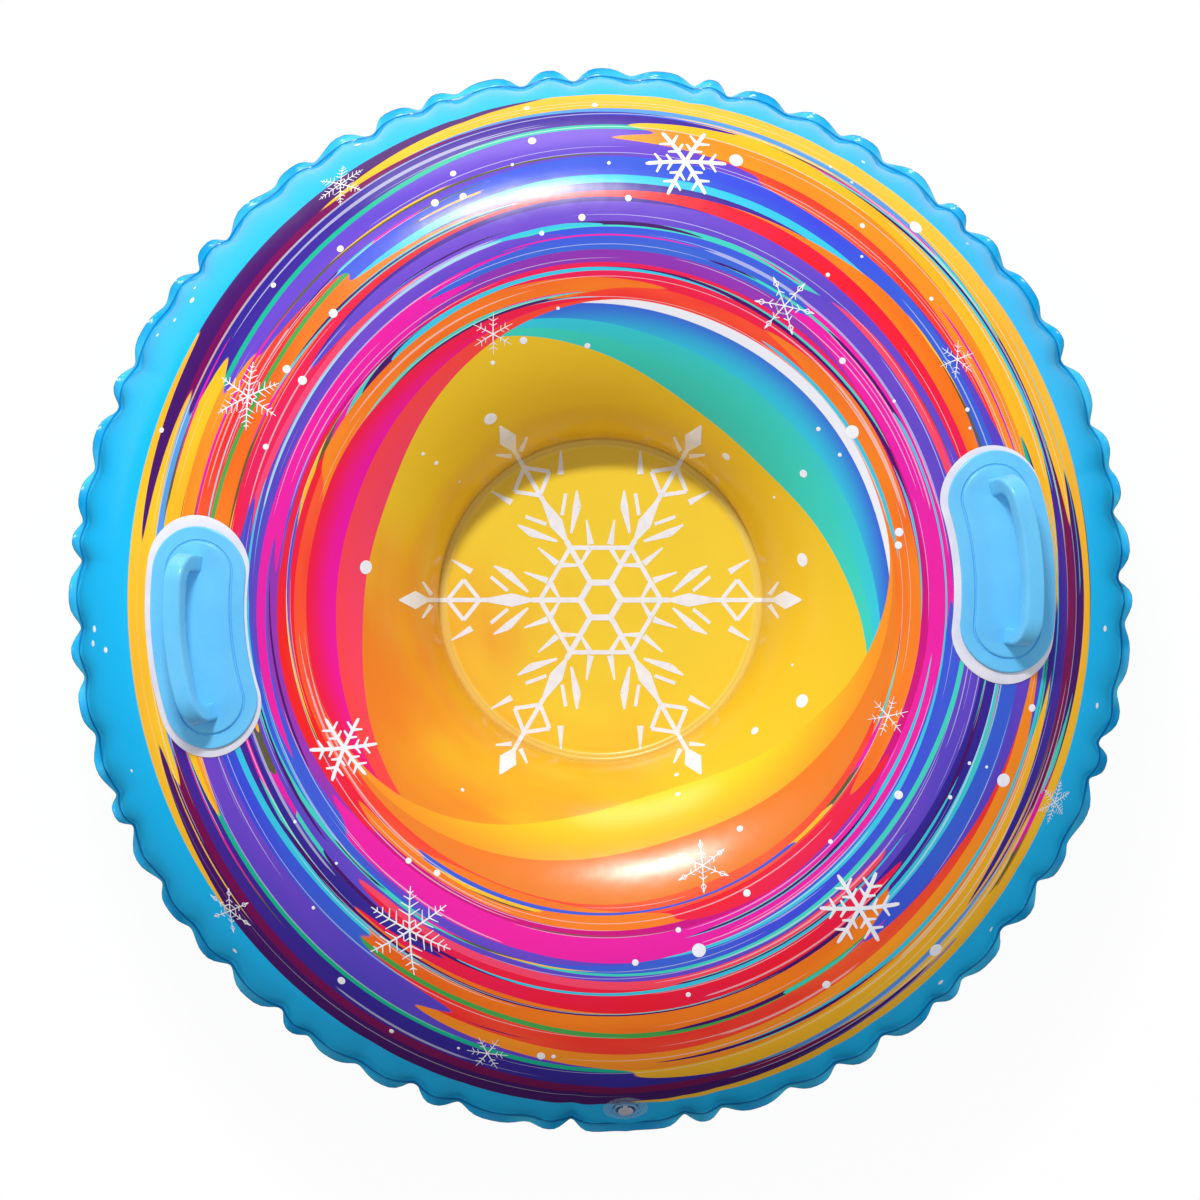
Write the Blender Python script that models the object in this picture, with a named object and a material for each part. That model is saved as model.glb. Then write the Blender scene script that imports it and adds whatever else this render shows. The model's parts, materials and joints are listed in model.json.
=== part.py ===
"""Inflatable snow tube, in metres, +Z up, standing on its flattened underside, with the origin at its centre.

Two vinyl sheets are welded together round a thin seat and along a scalloped rim, and the air between
them makes the ring. Two moulded handles sit on backing patches, and a push-in valve with a tethered plug
fills the ring.
"""

import math

import bmesh
import bpy
from mathutils import Matrix, Vector
from mathutils.bvhtree import BVHTree

CLEARANCE = 0.0003

# The inflated ring
RIM_RADIUS = 0.460
RIM_FLANGE_WIDTH = 0.005
CROWN_RADIUS = 0.302
SEAT_RADIUS = 0.140
SEAM_HEIGHT = 0.130
CROWN_RISE = 0.130
REST_BAND_WIDTH = 0.075
TOP_SHEET_THICKNESS = 0.0006
BOTTOM_SHEET_THICKNESS = 0.0008
SEAT_WELD_WIDTH = 0.008
SEAT_LIFT = 0.0004

# The gathers along the rim weld
SCALLOPS = 60
SCALLOP_DEPTH = 0.0085
PUCKER_DEPTH = 0.006
SCALLOP_SWAY_SHARE = 0.22
SCALLOP_UNEVEN_SHARE = 0.3
PUCKER_START_DEG = 10
PUCKER_END_DEG = 33

# Rings of points over each sheet: degrees from the rim weld over the crown to the seat weld, and how many
# points each scallop has
VALVE_RING_DEG = 15
GATHERED_RINGS_DEG = ((0, 4), (7, 4), (VALVE_RING_DEG, 2), (PUCKER_END_DEG, 1))
TOP_PLAIN_DEG = (48, 62, 76, 90, 105, 122, 141, 160, 180)
TOP_RINGS_DEG = GATHERED_RINGS_DEG + tuple((degrees, 1) for degrees in TOP_PLAIN_DEG)
BOTTOM_OUTER_RINGS_DEG = GATHERED_RINGS_DEG + ((54, 1),)
BOTTOM_INNER_RINGS_DEG = tuple((degrees, 1) for degrees in (126, 152, 180))

# Handles, one on each side, curved along the ring. Each stands a share of the way out from the crown to the
# rim, and its patch, a separate stamping, is welded on a little along and outwards of it.
HANDLE_ANGLES_DEG = {"right": 5.45, "left": 185.4}
HANDLE_OUTWARD_SHARES = {"right": 0.33, "left": 0.303}
PATCH_ALONG_SHIFTS = {"right": -0.0025, "left": -0.0012}
PATCH_OUTWARD_SHIFTS = {"right": -0.0025, "left": 0.0017}
HANDLE_CURVE_RADIUS = 0.283
PATCH_LENGTH = 0.208
PATCH_WIDTH = 0.088
PATCH_THICKNESS = 0.0006
BASE_LENGTH = 0.192
BASE_WIDTH = 0.080
BASE_THICKNESS = 0.0024
PAD_LENGTH = 0.168
PAD_WIDTH = 0.055
PAD_HEIGHT = 0.0014
GRIP_SPAN = 0.129
GRIP_OUTSET = 0.004
GRIP_REACH = 0.0355
GRIP_BEND_RADIUS = 0.020
GRIP_WIDTH = 0.013
GRIP_THICKNESS = 0.0145
GRIP_LEAN_DEG = 9
GRIP_ROOT_FLARE = 0.0015
GRIP_FLARE_SHARES = (1.0, 0.4, 0.0)
GRIP_SQUARENESS = 0.6

# Push-in valve on the outer slope
VALVE_ANGLE_DEG = -87.2
FLANGE_RADIUS = 0.0195
FLANGE_THICKNESS = 0.0012
FLANGE_CHAMFER = 0.0005
BARREL_RADIUS = 0.0107
BARREL_WALL = 0.0007
BARREL_DEPTH = 0.0018
STEM_TRAVEL = 0.012
STEM_WALL = 0.001
STEM_BEAD_WIDTH = 0.0011
STEM_BEAD_THICKNESS = 0.0009
NECK_RADIUS = 0.0058
NECK_BORE_RADIUS = 0.004
PLUG_HEAD_RADIUS = 0.0065
PLUG_HEAD_THICKNESS = 0.0016
PLUG_SHANK_LENGTH = 0.0034
PLUG_TIP_RADIUS = 0.0028
TETHER_WIDTH = 0.004
TETHER_THICKNESS = 0.0009
FLAP_RADIUS = 0.005
FLAP_THICKNESS = 0.0006
FLAP_TONGUE_LENGTH = 0.0016
FLAP_TONGUE_WIDTH = 0.004

VALVE_SIDES = 24
OVERRUN = 0.01
SMOOTH_DEG = 35

# Sizes that follow from the ones above
RIM_ROOT_RADIUS = RIM_RADIUS - RIM_FLANGE_WIDTH
OUTER_REACH = RIM_ROOT_RADIUS - CROWN_RADIUS
INNER_REACH = CROWN_RADIUS - SEAT_RADIUS
PITCH = 2 * math.pi / SCALLOPS
FIRST_VALLEY = math.radians(VALVE_ANGLE_DEG)


def clear_scene():
    for thing in list(bpy.data.objects):
        bpy.data.objects.remove(thing, do_unlink=True)


def finish(name, colour, roughness, alpha=1.0):
    material = bpy.data.materials.new(name)
    material.use_nodes = True
    shader = material.node_tree.nodes["Principled BSDF"]
    shader.inputs["Base Color"].default_value = (*colour, 1.0)
    shader.inputs["Roughness"].default_value = roughness
    shader.inputs["Metallic"].default_value = 0.0
    shader.inputs["Alpha"].default_value = alpha
    return material


def add_object(name, mesh_builder, material=None, smooth=True):
    """Turns a bmesh into a linked object. Flat cutters leave crisp edges where they cut."""
    mesh = bpy.data.meshes.new(name)
    mesh_builder.to_mesh(mesh)
    mesh_builder.free()
    thing = bpy.data.objects.new(name, mesh)
    bpy.context.scene.collection.objects.link(thing)
    if smooth:
        mesh.shade_smooth()
        mesh.set_sharp_from_angle(angle=math.radians(SMOOTH_DEG))
    if material:
        mesh.materials.append(material)
    return thing


def as_helper(thing):
    """Keeps a cutter or a piece to be joined out of the finished part."""
    thing.hide_render = True
    thing.display_type = "WIRE"
    return thing


def boolean(thing, operation, other):
    modifier = thing.modifiers.new(f"{operation.lower()} {other.name}", "BOOLEAN")
    modifier.operation = operation
    modifier.object = other
    return modifier


# The shape of the sheets


def sway(index):
    """How far a valley of the rim stands from its even place, from -1 to 1."""
    return 0.6 * math.sin(2.4 * index) + 0.4 * math.sin(5.1 * index + 1.0)


def unevenness(index):
    """How much deeper or shallower a valley is than most, from -1 to 1."""
    return 0.6 * math.sin(1.7 * index + 0.5) + 0.4 * math.sin(4.3 * index)


def valley_strength(index):
    """Share of the full depth. The stiff valve flange holds its own valley open and joins two scallops."""
    if index % SCALLOPS == 0:
        return 0.0
    return 1 + SCALLOP_UNEVEN_SHARE * unevenness(index)


def pucker_fade(degrees):
    """Full at the rim weld and nothing where the gathers end."""
    return max(0.0, 1 - degrees / PUCKER_END_DEG) ** 2


def valley_angle(index, fade):
    held = index % SCALLOPS == 0
    moved = 0.0 if held else SCALLOP_SWAY_SHARE * sway(index % SCALLOPS) * fade
    return FIRST_VALLEY + PITCH * (index + moved)


def sheet_point(degrees, side, angle):
    """A point of the plain ring and its outward normal. Side is 1 for the top sheet and -1 for the other."""
    turn = math.radians(degrees)
    reach = OUTER_REACH if degrees <= 90 else INNER_REACH
    rise = CROWN_RISE
    if side < 0:
        rise = SEAM_HEIGHT / math.sqrt(1 - (REST_BAND_WIDTH / 2 / reach) ** 2)
    radius = CROWN_RADIUS + reach * math.cos(turn)
    height = SEAM_HEIGHT + side * rise * math.sin(turn)
    outward = Vector((math.cos(angle), math.sin(angle), 0))
    normal = outward * (math.cos(turn) / reach) + Vector((0, 0, side * math.sin(turn) / rise))
    return outward * radius + Vector((0, 0, max(0.0, height))), normal.normalized()


def gathered_point(degrees, side, index, quarter, edge=False):
    """A point of the sheet between the valleys index and index + 1, with the gathers of the rim."""
    fade = pucker_fade(degrees)
    share = quarter / 4
    start = valley_angle(index, fade)
    end = valley_angle(index + 1, fade)
    angle = start + (end - start) * share
    strength = valley_strength(index) * (1 - share) + valley_strength(index + 1) * share
    hollow = strength * (1 - math.sin(math.pi * share))
    point, normal = sheet_point(degrees, side, angle)
    outward = Vector((math.cos(angle), math.sin(angle), 0))
    point -= outward * SCALLOP_DEPTH * hollow * fade
    # The sheet sinks in most a little way in from the weld and stays flat along the weld itself.
    depth = PUCKER_DEPTH * hollow * fade * math.sin(min(1.0, degrees / PUCKER_START_DEG) * math.pi / 2)
    point -= normal * depth
    if degrees == 0:
        sheet = TOP_SHEET_THICKNESS if side > 0 else BOTTOM_SHEET_THICKNESS
        point.z = SEAM_HEIGHT + side * (CLEARANCE / 2 + sheet)
        if edge:
            point += outward * RIM_FLANGE_WIDTH
    return point


def ring_of_points(builder, degrees, per_scallop, side, edge=False):
    """One ring of points. With one per scallop they lie on the crests, with a flat face over each valley."""
    quarters = {4: (0, 1, 2, 3), 2: (0, 2), 1: (2,)}[per_scallop]
    points = []
    for index in range(SCALLOPS):
        for quarter in quarters:
            place = gathered_point(degrees, side, index, quarter, edge)
            if per_scallop == 2 and quarter == 0 and index == 0:
                # Straight between its neighbours, so that the valve has a flat seat.
                before = gathered_point(degrees, side, -1, 2)
                after = gathered_point(degrees, side, 0, 2)
                place = (before + after) / 2
            points.append(builder.verts.new(place))
    return points


def join_rings(builder, first, second):
    """Faces between two rings. The second may have half as many points, which match every other one."""
    count = len(second)
    if len(first) == count:
        for k in range(count):
            after = (k + 1) % count
            builder.faces.new((first[k], first[after], second[after], second[k]))
        return
    ends_on_crests = count == SCALLOPS
    for k in range(count):
        middle = (2 * k + (2 if ends_on_crests else 1)) % len(first)
        left = first[(middle - 1) % len(first)]
        right = first[(middle + 1) % len(first)]
        here, after = second[k], second[(k + 1) % count]
        builder.faces.new((left, first[middle], here))
        builder.faces.new((first[middle], after, here))
        builder.faces.new((first[middle], right, after))


def sheet_rings(side):
    if side > 0:
        return TOP_RINGS_DEG
    flat_outer = math.degrees(math.acos(REST_BAND_WIDTH / 2 / OUTER_REACH))
    flat_inner = 180 - math.degrees(math.acos(REST_BAND_WIDTH / 2 / INNER_REACH))
    return BOTTOM_OUTER_RINGS_DEG + ((flat_outer, 1), (flat_inner, 1)) + BOTTOM_INNER_RINGS_DEG


def sheet_surface(side):
    """The outside of one sheet, from the edge of the rim flange over the ring to the middle of the seat."""
    builder = bmesh.new()
    rings = [ring_of_points(builder, 0, 4, side, edge=True)]
    for degrees, per_scallop in sheet_rings(side):
        rings.append(ring_of_points(builder, degrees, per_scallop, side))
    sheet = TOP_SHEET_THICKNESS if side > 0 else BOTTOM_SHEET_THICKNESS
    weld_height = SEAM_HEIGHT + side * (CLEARANCE / 2 + sheet)
    seat_height = weld_height + side * SEAT_LIFT
    for vertex in rings[-1]:
        vertex.co.z = weld_height
    weld_share = (SEAT_RADIUS - SEAT_WELD_WIDTH) / SEAT_RADIUS
    inner = []
    for vertex in rings[-1]:
        spot = Vector((vertex.co.x * weld_share, vertex.co.y * weld_share, seat_height))
        inner.append(builder.verts.new(spot))
    rings.append(inner)
    for first, second in zip(rings, rings[1:]):
        join_rings(builder, first, second)
    middle = builder.verts.new((0, 0, seat_height))
    for k, vertex in enumerate(inner):
        builder.faces.new((vertex, inner[(k + 1) % len(inner)], middle))
    builder.normal_update()
    if side < 0:
        bmesh.ops.reverse_faces(builder, faces=builder.faces[:])
    return builder


def make_sheet(name, side, thickness, material):
    thing = add_object(name, sheet_surface(side), material)
    wall = thing.modifiers.new("sheet thickness", "SOLIDIFY")
    wall.thickness = thickness
    wall.offset = -1
    wall.use_even_offset = True
    return thing


# Handles and their backing patches


class HandlePlace:
    """Curved coordinates over the top sheet: along the ring, outwards from the middle line, and above."""

    def __init__(self, side_name, along_shift=0, outward_shift=0):
        angle = math.radians(HANDLE_ANGLES_DEG[side_name])
        radius = CROWN_RADIUS + HANDLE_OUTWARD_SHARES[side_name] * OUTER_REACH
        self.outward = Vector((math.cos(angle), math.sin(angle), 0))
        self.along = Vector((-math.sin(angle), math.cos(angle), 0))
        self.curve_centre = self.outward * (radius - HANDLE_CURVE_RADIUS)
        self.angle = angle
        self.along_shift = along_shift
        self.outward_shift = outward_shift

    def plan(self, along, outwards):
        turn = (along + self.along_shift) / HANDLE_CURVE_RADIUS
        direction = self.outward * math.cos(turn) + self.along * math.sin(turn)
        return self.curve_centre + direction * (HANDLE_CURVE_RADIUS + outwards + self.outward_shift)

    def over(self, along, outwards, above):
        spot = self.plan(along, outwards)
        radius = spot.length
        reach = OUTER_REACH if radius > CROWN_RADIUS else INNER_REACH
        cosine = max(-1.0, min(1.0, (radius - CROWN_RADIUS) / reach))
        point, normal = sheet_point(math.degrees(math.acos(cosine)), 1, math.atan2(spot.y, spot.x))
        return point + normal * above

    def outline(self, length, width):
        """A bean of one width with round ends, as plan points in order."""
        half_run = (length - width) / 2
        sides = 8
        turns = 10
        points = [self.plan(half_run - 2 * half_run * k / sides, width / 2) for k in range(sides)]
        for k in range(turns):
            turn = math.pi * k / turns
            points.append(self.plan(-half_run - math.sin(turn) * width / 2, math.cos(turn) * width / 2))
        points += [self.plan(-half_run + 2 * half_run * k / sides, -width / 2) for k in range(sides)]
        for k in range(turns):
            turn = math.pi * k / turns
            points.append(self.plan(half_run + math.sin(turn) * width / 2, -math.cos(turn) * width / 2))
        return points


def outline_prism(name, points):
    """An upright prism over an outline, tall enough to cut through every layer on the top sheet."""
    builder = bmesh.new()
    low = SEAM_HEIGHT + CLEARANCE
    high = SEAM_HEIGHT + CROWN_RISE + OVERRUN
    base = [builder.verts.new((point.x, point.y, low)) for point in points]
    face = builder.faces.new(base)
    raised = bmesh.ops.extrude_face_region(builder, geom=[face])
    for item in raised["geom"]:
        if isinstance(item, bmesh.types.BMVert):
            item.co.z = high
    bmesh.ops.recalc_face_normals(builder, faces=builder.faces[:])
    return as_helper(add_object(name, builder, smooth=False))


def layer_over_sheet(name, place, half_length, low, high, material=None):
    """A curved slab that lies over the faces of the top sheet near a handle, between two heights above it."""
    columns = math.ceil(half_length / (PITCH * CROWN_RADIUS)) + 1
    first = round((place.angle - FIRST_VALLEY) / PITCH) - columns
    rings = [ring for ring in TOP_RINGS_DEG if ring[1] == 1 and ring[0] < 180]
    builder = bmesh.new()
    grids = []
    for above in (low, high):
        grid = []
        for degrees, _ in rings:
            row = []
            for column in range(first, first + 2 * columns + 1):
                angle = FIRST_VALLEY + PITCH * (column + 0.5)
                point, normal = sheet_point(degrees, 1, angle)
                row.append(builder.verts.new(point + normal * above))
            grid.append(row)
        grids.append(grid)
    bottom, top = grids
    for i in range(len(rings) - 1):
        for j in range(2 * columns):
            builder.faces.new((top[i][j], top[i][j + 1], top[i + 1][j + 1], top[i + 1][j]))
            builder.faces.new((bottom[i][j], bottom[i + 1][j], bottom[i + 1][j + 1], bottom[i][j + 1]))
    border = [(0, j) for j in range(2 * columns)] + [(i, 2 * columns) for i in range(len(rings) - 1)]
    border += [(len(rings) - 1, j) for j in range(2 * columns, 0, -1)]
    border += [(i, 0) for i in range(len(rings) - 1, 0, -1)]
    for (i, j), (m, n) in zip(border, border[1:] + border[:1]):
        builder.faces.new((top[i][j], bottom[i][j], bottom[m][n], top[m][n]))
    bmesh.ops.recalc_face_normals(builder, faces=builder.faces[:])
    return add_object(name, builder, material)


def facet_drop(surface, place, along, outwards):
    """How far the flat faces of the sheet lie below its true curve at a spot."""
    spot = place.over(along, outwards, 0)
    hit, _, _, _ = surface.ray_cast(spot + Vector((0, 0, OVERRUN)), Vector((0, 0, -1)))
    return spot.z - hit.z


def grip_bar(name, place, surface, root_height):
    """The arched bar, swept as one tube: legs that lean outwards, round bends and a bar along the ring."""
    lean = math.radians(GRIP_LEAN_DEG)
    half = GRIP_SPAN / 2
    straight = GRIP_REACH - GRIP_BEND_RADIUS
    roots = [root_height - facet_drop(surface, place, along, GRIP_OUTSET) for along in (half, -half)]
    start = min(roots) / math.cos(lean)
    legs = (start, (start + straight) / 2, straight)
    path = [(half, reach, share) for reach, share in zip(legs, GRIP_FLARE_SHARES)]
    bend_steps = 4
    for k in range(1, bend_steps + 1):
        turn = math.pi / 2 * k / bend_steps
        inwards = GRIP_BEND_RADIUS * (1 - math.cos(turn))
        path.append((half - inwards, straight + GRIP_BEND_RADIUS * math.sin(turn), 0))
    path.append(((half - GRIP_BEND_RADIUS) / 3, GRIP_REACH, 0))
    path += [(-along, reach, flare) for along, reach, flare in reversed(path)]
    corners = 12
    builder = bmesh.new()
    rings = []
    for k, (along, reach, flare) in enumerate(path):
        before = path[max(0, k - 1)]
        after = path[min(len(path) - 1, k + 1)]
        run = Vector((after[0] - before[0], after[1] - before[1])).normalized()
        side = Vector((-run.y, run.x))
        if k in (0, len(path) - 1):
            side = Vector((side.x, 0)).normalized()
        ring = []
        for corner in range(corners):
            turn = 2 * math.pi * corner / corners
            wide = math.copysign(abs(math.cos(turn)) ** GRIP_SQUARENESS, math.cos(turn))
            thick = math.copysign(abs(math.sin(turn)) ** GRIP_SQUARENESS, math.sin(turn))
            across = wide * (GRIP_WIDTH / 2 + GRIP_ROOT_FLARE * flare)
            inward = thick * (GRIP_THICKNESS / 2 + GRIP_ROOT_FLARE * flare)
            spot_along = along + side.x * inward
            spot_reach = reach + side.y * inward
            outwards = GRIP_OUTSET + spot_reach * math.sin(lean) + across * math.cos(lean)
            above = spot_reach * math.cos(lean) - across * math.sin(lean)
            if k in (0, len(path) - 1):
                above = roots[0 if k == 0 else 1]
            ring.append(builder.verts.new(place.over(spot_along, outwards, above)))
        rings.append(ring)
    for first, second in zip(rings, rings[1:]):
        join_rings(builder, first, second)
    builder.faces.new(rings[0])
    builder.faces.new(reversed(rings[-1]))
    bmesh.ops.recalc_face_normals(builder, faces=builder.faces[:])
    return as_helper(add_object(name, builder))


def make_handle(side_name, surface, patch_material, handle_material):
    place = HandlePlace(side_name)
    patch_low = CLEARANCE
    patch_high = patch_low + PATCH_THICKNESS
    patch = layer_over_sheet(
        f"{side_name}_handle_patch", place, PATCH_LENGTH / 2, patch_low, patch_high, patch_material
    )
    patch_place = HandlePlace(side_name, PATCH_ALONG_SHIFTS[side_name], PATCH_OUTWARD_SHIFTS[side_name])
    patch_outline = patch_place.outline(PATCH_LENGTH, PATCH_WIDTH)
    boolean(patch, "INTERSECT", outline_prism(f"{side_name}_patch_outline", patch_outline))

    base_low = patch_high + CLEARANCE
    base_high = base_low + BASE_THICKNESS
    handle = layer_over_sheet(
        f"{side_name}_handle", place, BASE_LENGTH / 2, base_low, base_high, handle_material
    )
    base_outline = place.outline(BASE_LENGTH, BASE_WIDTH)
    boolean(handle, "INTERSECT", outline_prism(f"{side_name}_base_outline", base_outline))

    pad_low = base_low + BASE_THICKNESS / 2
    pad_high = base_high + PAD_HEIGHT
    pad = as_helper(layer_over_sheet(f"{side_name}_pad", place, PAD_LENGTH / 2, pad_low, pad_high))
    pad_outline = place.outline(PAD_LENGTH, PAD_WIDTH)
    boolean(pad, "INTERSECT", outline_prism(f"{side_name}_pad_outline", pad_outline))
    boolean(handle, "UNION", pad)
    boolean(handle, "UNION", grip_bar(f"{side_name}_grip", place, surface, pad_low))
    shading = handle.modifiers.new("even shading at the roots", "WEIGHTED_NORMAL")
    shading.keep_sharp = True
    return patch, handle


# Valve


def turned(name, profile, material=None, sides=VALVE_SIDES):
    """A solid turned round the local Z axis from a closed anticlockwise profile of (radius, height)."""
    builder = bmesh.new()
    rings = []
    for radius, height in profile:
        if radius == 0:
            rings.append([builder.verts.new((0, 0, height))])
            continue
        ring = []
        for k in range(sides):
            turn = 2 * math.pi * k / sides
            ring.append(builder.verts.new((radius * math.cos(turn), radius * math.sin(turn), height)))
        rings.append(ring)
    for first, second in zip(rings, rings[1:] + rings[:1]):
        for k in range(sides):
            after = (k + 1) % sides
            corners = [first[k % len(first)], first[after % len(first)]]
            corners += [second[after % len(second)], second[k % len(second)]]
            corners = list(dict.fromkeys(corners))
            if len(corners) > 2:
                builder.faces.new(corners)
    bmesh.ops.recalc_face_normals(builder, faces=builder.faces[:])
    return add_object(name, builder, material)


def block(name, low, high):
    """A box between two corners, as a helper to be joined."""
    builder = bmesh.new()
    bmesh.ops.create_cube(builder, size=1)
    low, high = Vector(low), Vector(high)
    size = high - low
    bmesh.ops.scale(builder, vec=size, verts=builder.verts[:])
    bmesh.ops.translate(builder, vec=(low + high) / 2, verts=builder.verts[:])
    return as_helper(add_object(name, builder, smooth=False))


def valve_frame():
    """An empty on the flat face of the top sheet at the valve: Z points out of it and X up the slope."""
    corners = [
        gathered_point(degrees, 1, index, 2)
        for degrees in (VALVE_RING_DEG, PUCKER_END_DEG)
        for index in (-1, 0)
    ]
    centre = sum(corners, Vector()) / len(corners)
    up_slope = ((corners[2] + corners[3]) - (corners[0] + corners[1])).normalized()
    along = (corners[1] - corners[0]).normalized()
    out = along.cross(up_slope).normalized()
    if out.z < 0:
        out.negate()
    frame = bpy.data.objects.new("valve_axis", None)
    bpy.context.scene.collection.objects.link(frame)
    turn = Matrix((up_slope, out.cross(up_slope), out)).transposed()
    frame.matrix_world = Matrix.Translation(centre) @ turn.to_4x4()
    return frame


def place_on(frame, thing, offset=(0, 0, 0)):
    thing.parent = frame
    thing.location = offset
    return thing


def make_valve(top_sheet, flange_material, stem_material, plug_material):
    frame = valve_frame()
    hole = as_helper(
        turned(
            "valve_hole",
            (
                (0, -OVERRUN),
                (BARREL_RADIUS + CLEARANCE, -OVERRUN),
                (BARREL_RADIUS + CLEARANCE, OVERRUN),
                (0, OVERRUN),
            ),
        )
    )
    place_on(frame, hole)
    boolean(top_sheet, "DIFFERENCE", hole)

    flange_top = CLEARANCE + FLANGE_THICKNESS
    barrel_bore = BARREL_RADIUS - BARREL_WALL
    flange = turned(
        "valve_flange",
        (
            (barrel_bore, -BARREL_DEPTH),
            (BARREL_RADIUS, -BARREL_DEPTH),
            (BARREL_RADIUS, CLEARANCE),
            (FLANGE_RADIUS, CLEARANCE),
            (FLANGE_RADIUS, flange_top - FLANGE_CHAMFER),
            (FLANGE_RADIUS - FLANGE_CHAMFER, flange_top),
            (barrel_bore, flange_top),
        ),
        flange_material,
    )
    place_on(frame, flange)

    # The stem is a cup with a neck in its middle. A bead at each end of the cup keeps it in the barrel.
    sleeve_radius = barrel_bore - CLEARANCE
    sleeve_bore = sleeve_radius - STEM_WALL
    bead_radius = sleeve_radius + STEM_BEAD_WIDTH
    top_bead_low = flange_top + CLEARANCE
    stem_top = top_bead_low + STEM_BEAD_THICKNESS
    low_bead_top = -BARREL_DEPTH - CLEARANCE - STEM_TRAVEL
    floor_low = low_bead_top - STEM_BEAD_THICKNESS
    floor_high = floor_low + STEM_WALL
    stem = turned(
        "valve_stem",
        (
            (NECK_BORE_RADIUS, floor_low),
            (bead_radius, floor_low),
            (bead_radius, low_bead_top),
            (sleeve_radius, low_bead_top),
            (sleeve_radius, top_bead_low),
            (bead_radius, top_bead_low),
            (bead_radius, stem_top),
            (sleeve_bore, stem_top),
            (sleeve_bore, floor_high),
            (NECK_RADIUS, floor_high),
            (NECK_RADIUS, stem_top),
            (NECK_BORE_RADIUS, stem_top),
        ),
        stem_material,
    )
    place_on(frame, stem)

    # The tether reaches from the plug's head over the cup's top bead, and the plug swings up about that end.
    head_low = stem_top + CLEARANCE
    hinge = Vector(((sleeve_bore + bead_radius) / 2, 0, head_low + TETHER_THICKNESS / 2))
    shank_radius = NECK_BORE_RADIUS - CLEARANCE
    head_high = head_low + PLUG_HEAD_THICKNESS
    plug = turned(
        "valve_plug",
        (
            (0, head_low - PLUG_SHANK_LENGTH),
            (PLUG_TIP_RADIUS, head_low - PLUG_SHANK_LENGTH),
            (shank_radius, head_low),
            (PLUG_HEAD_RADIUS, head_low),
            (PLUG_HEAD_RADIUS, head_high - FLANGE_CHAMFER),
            (PLUG_HEAD_RADIUS - FLANGE_CHAMFER, head_high),
            (0, head_high),
        ),
        plug_material,
    )
    plug.data.transform(Matrix.Translation(-hinge))
    place_on(frame, plug, hinge)
    tether = block(
        "plug_tether",
        (-hinge.x + shank_radius, -TETHER_WIDTH / 2, -TETHER_THICKNESS / 2),
        (TETHER_THICKNESS / 2, TETHER_WIDTH / 2, TETHER_THICKNESS / 2),
    )
    place_on(frame, tether, hinge)
    boolean(plug, "UNION", tether)

    flap_high = floor_low - CLEARANCE
    flap_hinge = Vector((FLAP_RADIUS + FLAP_TONGUE_LENGTH, 0, flap_high))
    flap = turned(
        "check_flap",
        (
            (0, flap_high - FLAP_THICKNESS),
            (FLAP_RADIUS, flap_high - FLAP_THICKNESS),
            (FLAP_RADIUS, flap_high),
            (0, flap_high),
        ),
        stem_material,
    )
    flap.data.transform(Matrix.Translation(-flap_hinge))
    place_on(frame, flap, flap_hinge)
    tongue = block(
        "flap_tongue",
        (-2 * FLAP_TONGUE_LENGTH, -FLAP_TONGUE_WIDTH / 2, -FLAP_THICKNESS),
        (0, FLAP_TONGUE_WIDTH / 2, 0),
    )
    place_on(frame, tongue, flap_hinge)
    boolean(flap, "UNION", tongue)
    return frame


def main():
    clear_scene()
    printed_vinyl = finish("printed_vinyl", (0.95, 0.45, 0.06), 0.25)
    blue_vinyl = finish("blue_vinyl", (0.05, 0.5, 0.85), 0.25)
    white_vinyl = finish("white_vinyl", (0.82, 0.8, 0.88), 0.35)
    handle_blue = finish("handle_blue", (0.2, 0.62, 0.95), 0.4)
    clear_vinyl = finish("clear_vinyl", (0.75, 0.82, 0.88), 0.2, 0.4)
    milky_vinyl = finish("milky_vinyl", (0.7, 0.72, 0.76), 0.35, 0.8)

    top = make_sheet("top_skin", 1, TOP_SHEET_THICKNESS, printed_vinyl)
    make_sheet("bottom_skin", -1, BOTTOM_SHEET_THICKNESS, blue_vinyl)
    outer_faces = sheet_surface(1)
    surface = BVHTree.FromBMesh(outer_faces)
    outer_faces.free()
    for side_name in HANDLE_ANGLES_DEG:
        make_handle(side_name, surface, white_vinyl, handle_blue)
    make_valve(top, clear_vinyl, clear_vinyl, milky_vinyl)


main()
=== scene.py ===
import json
import math

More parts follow.
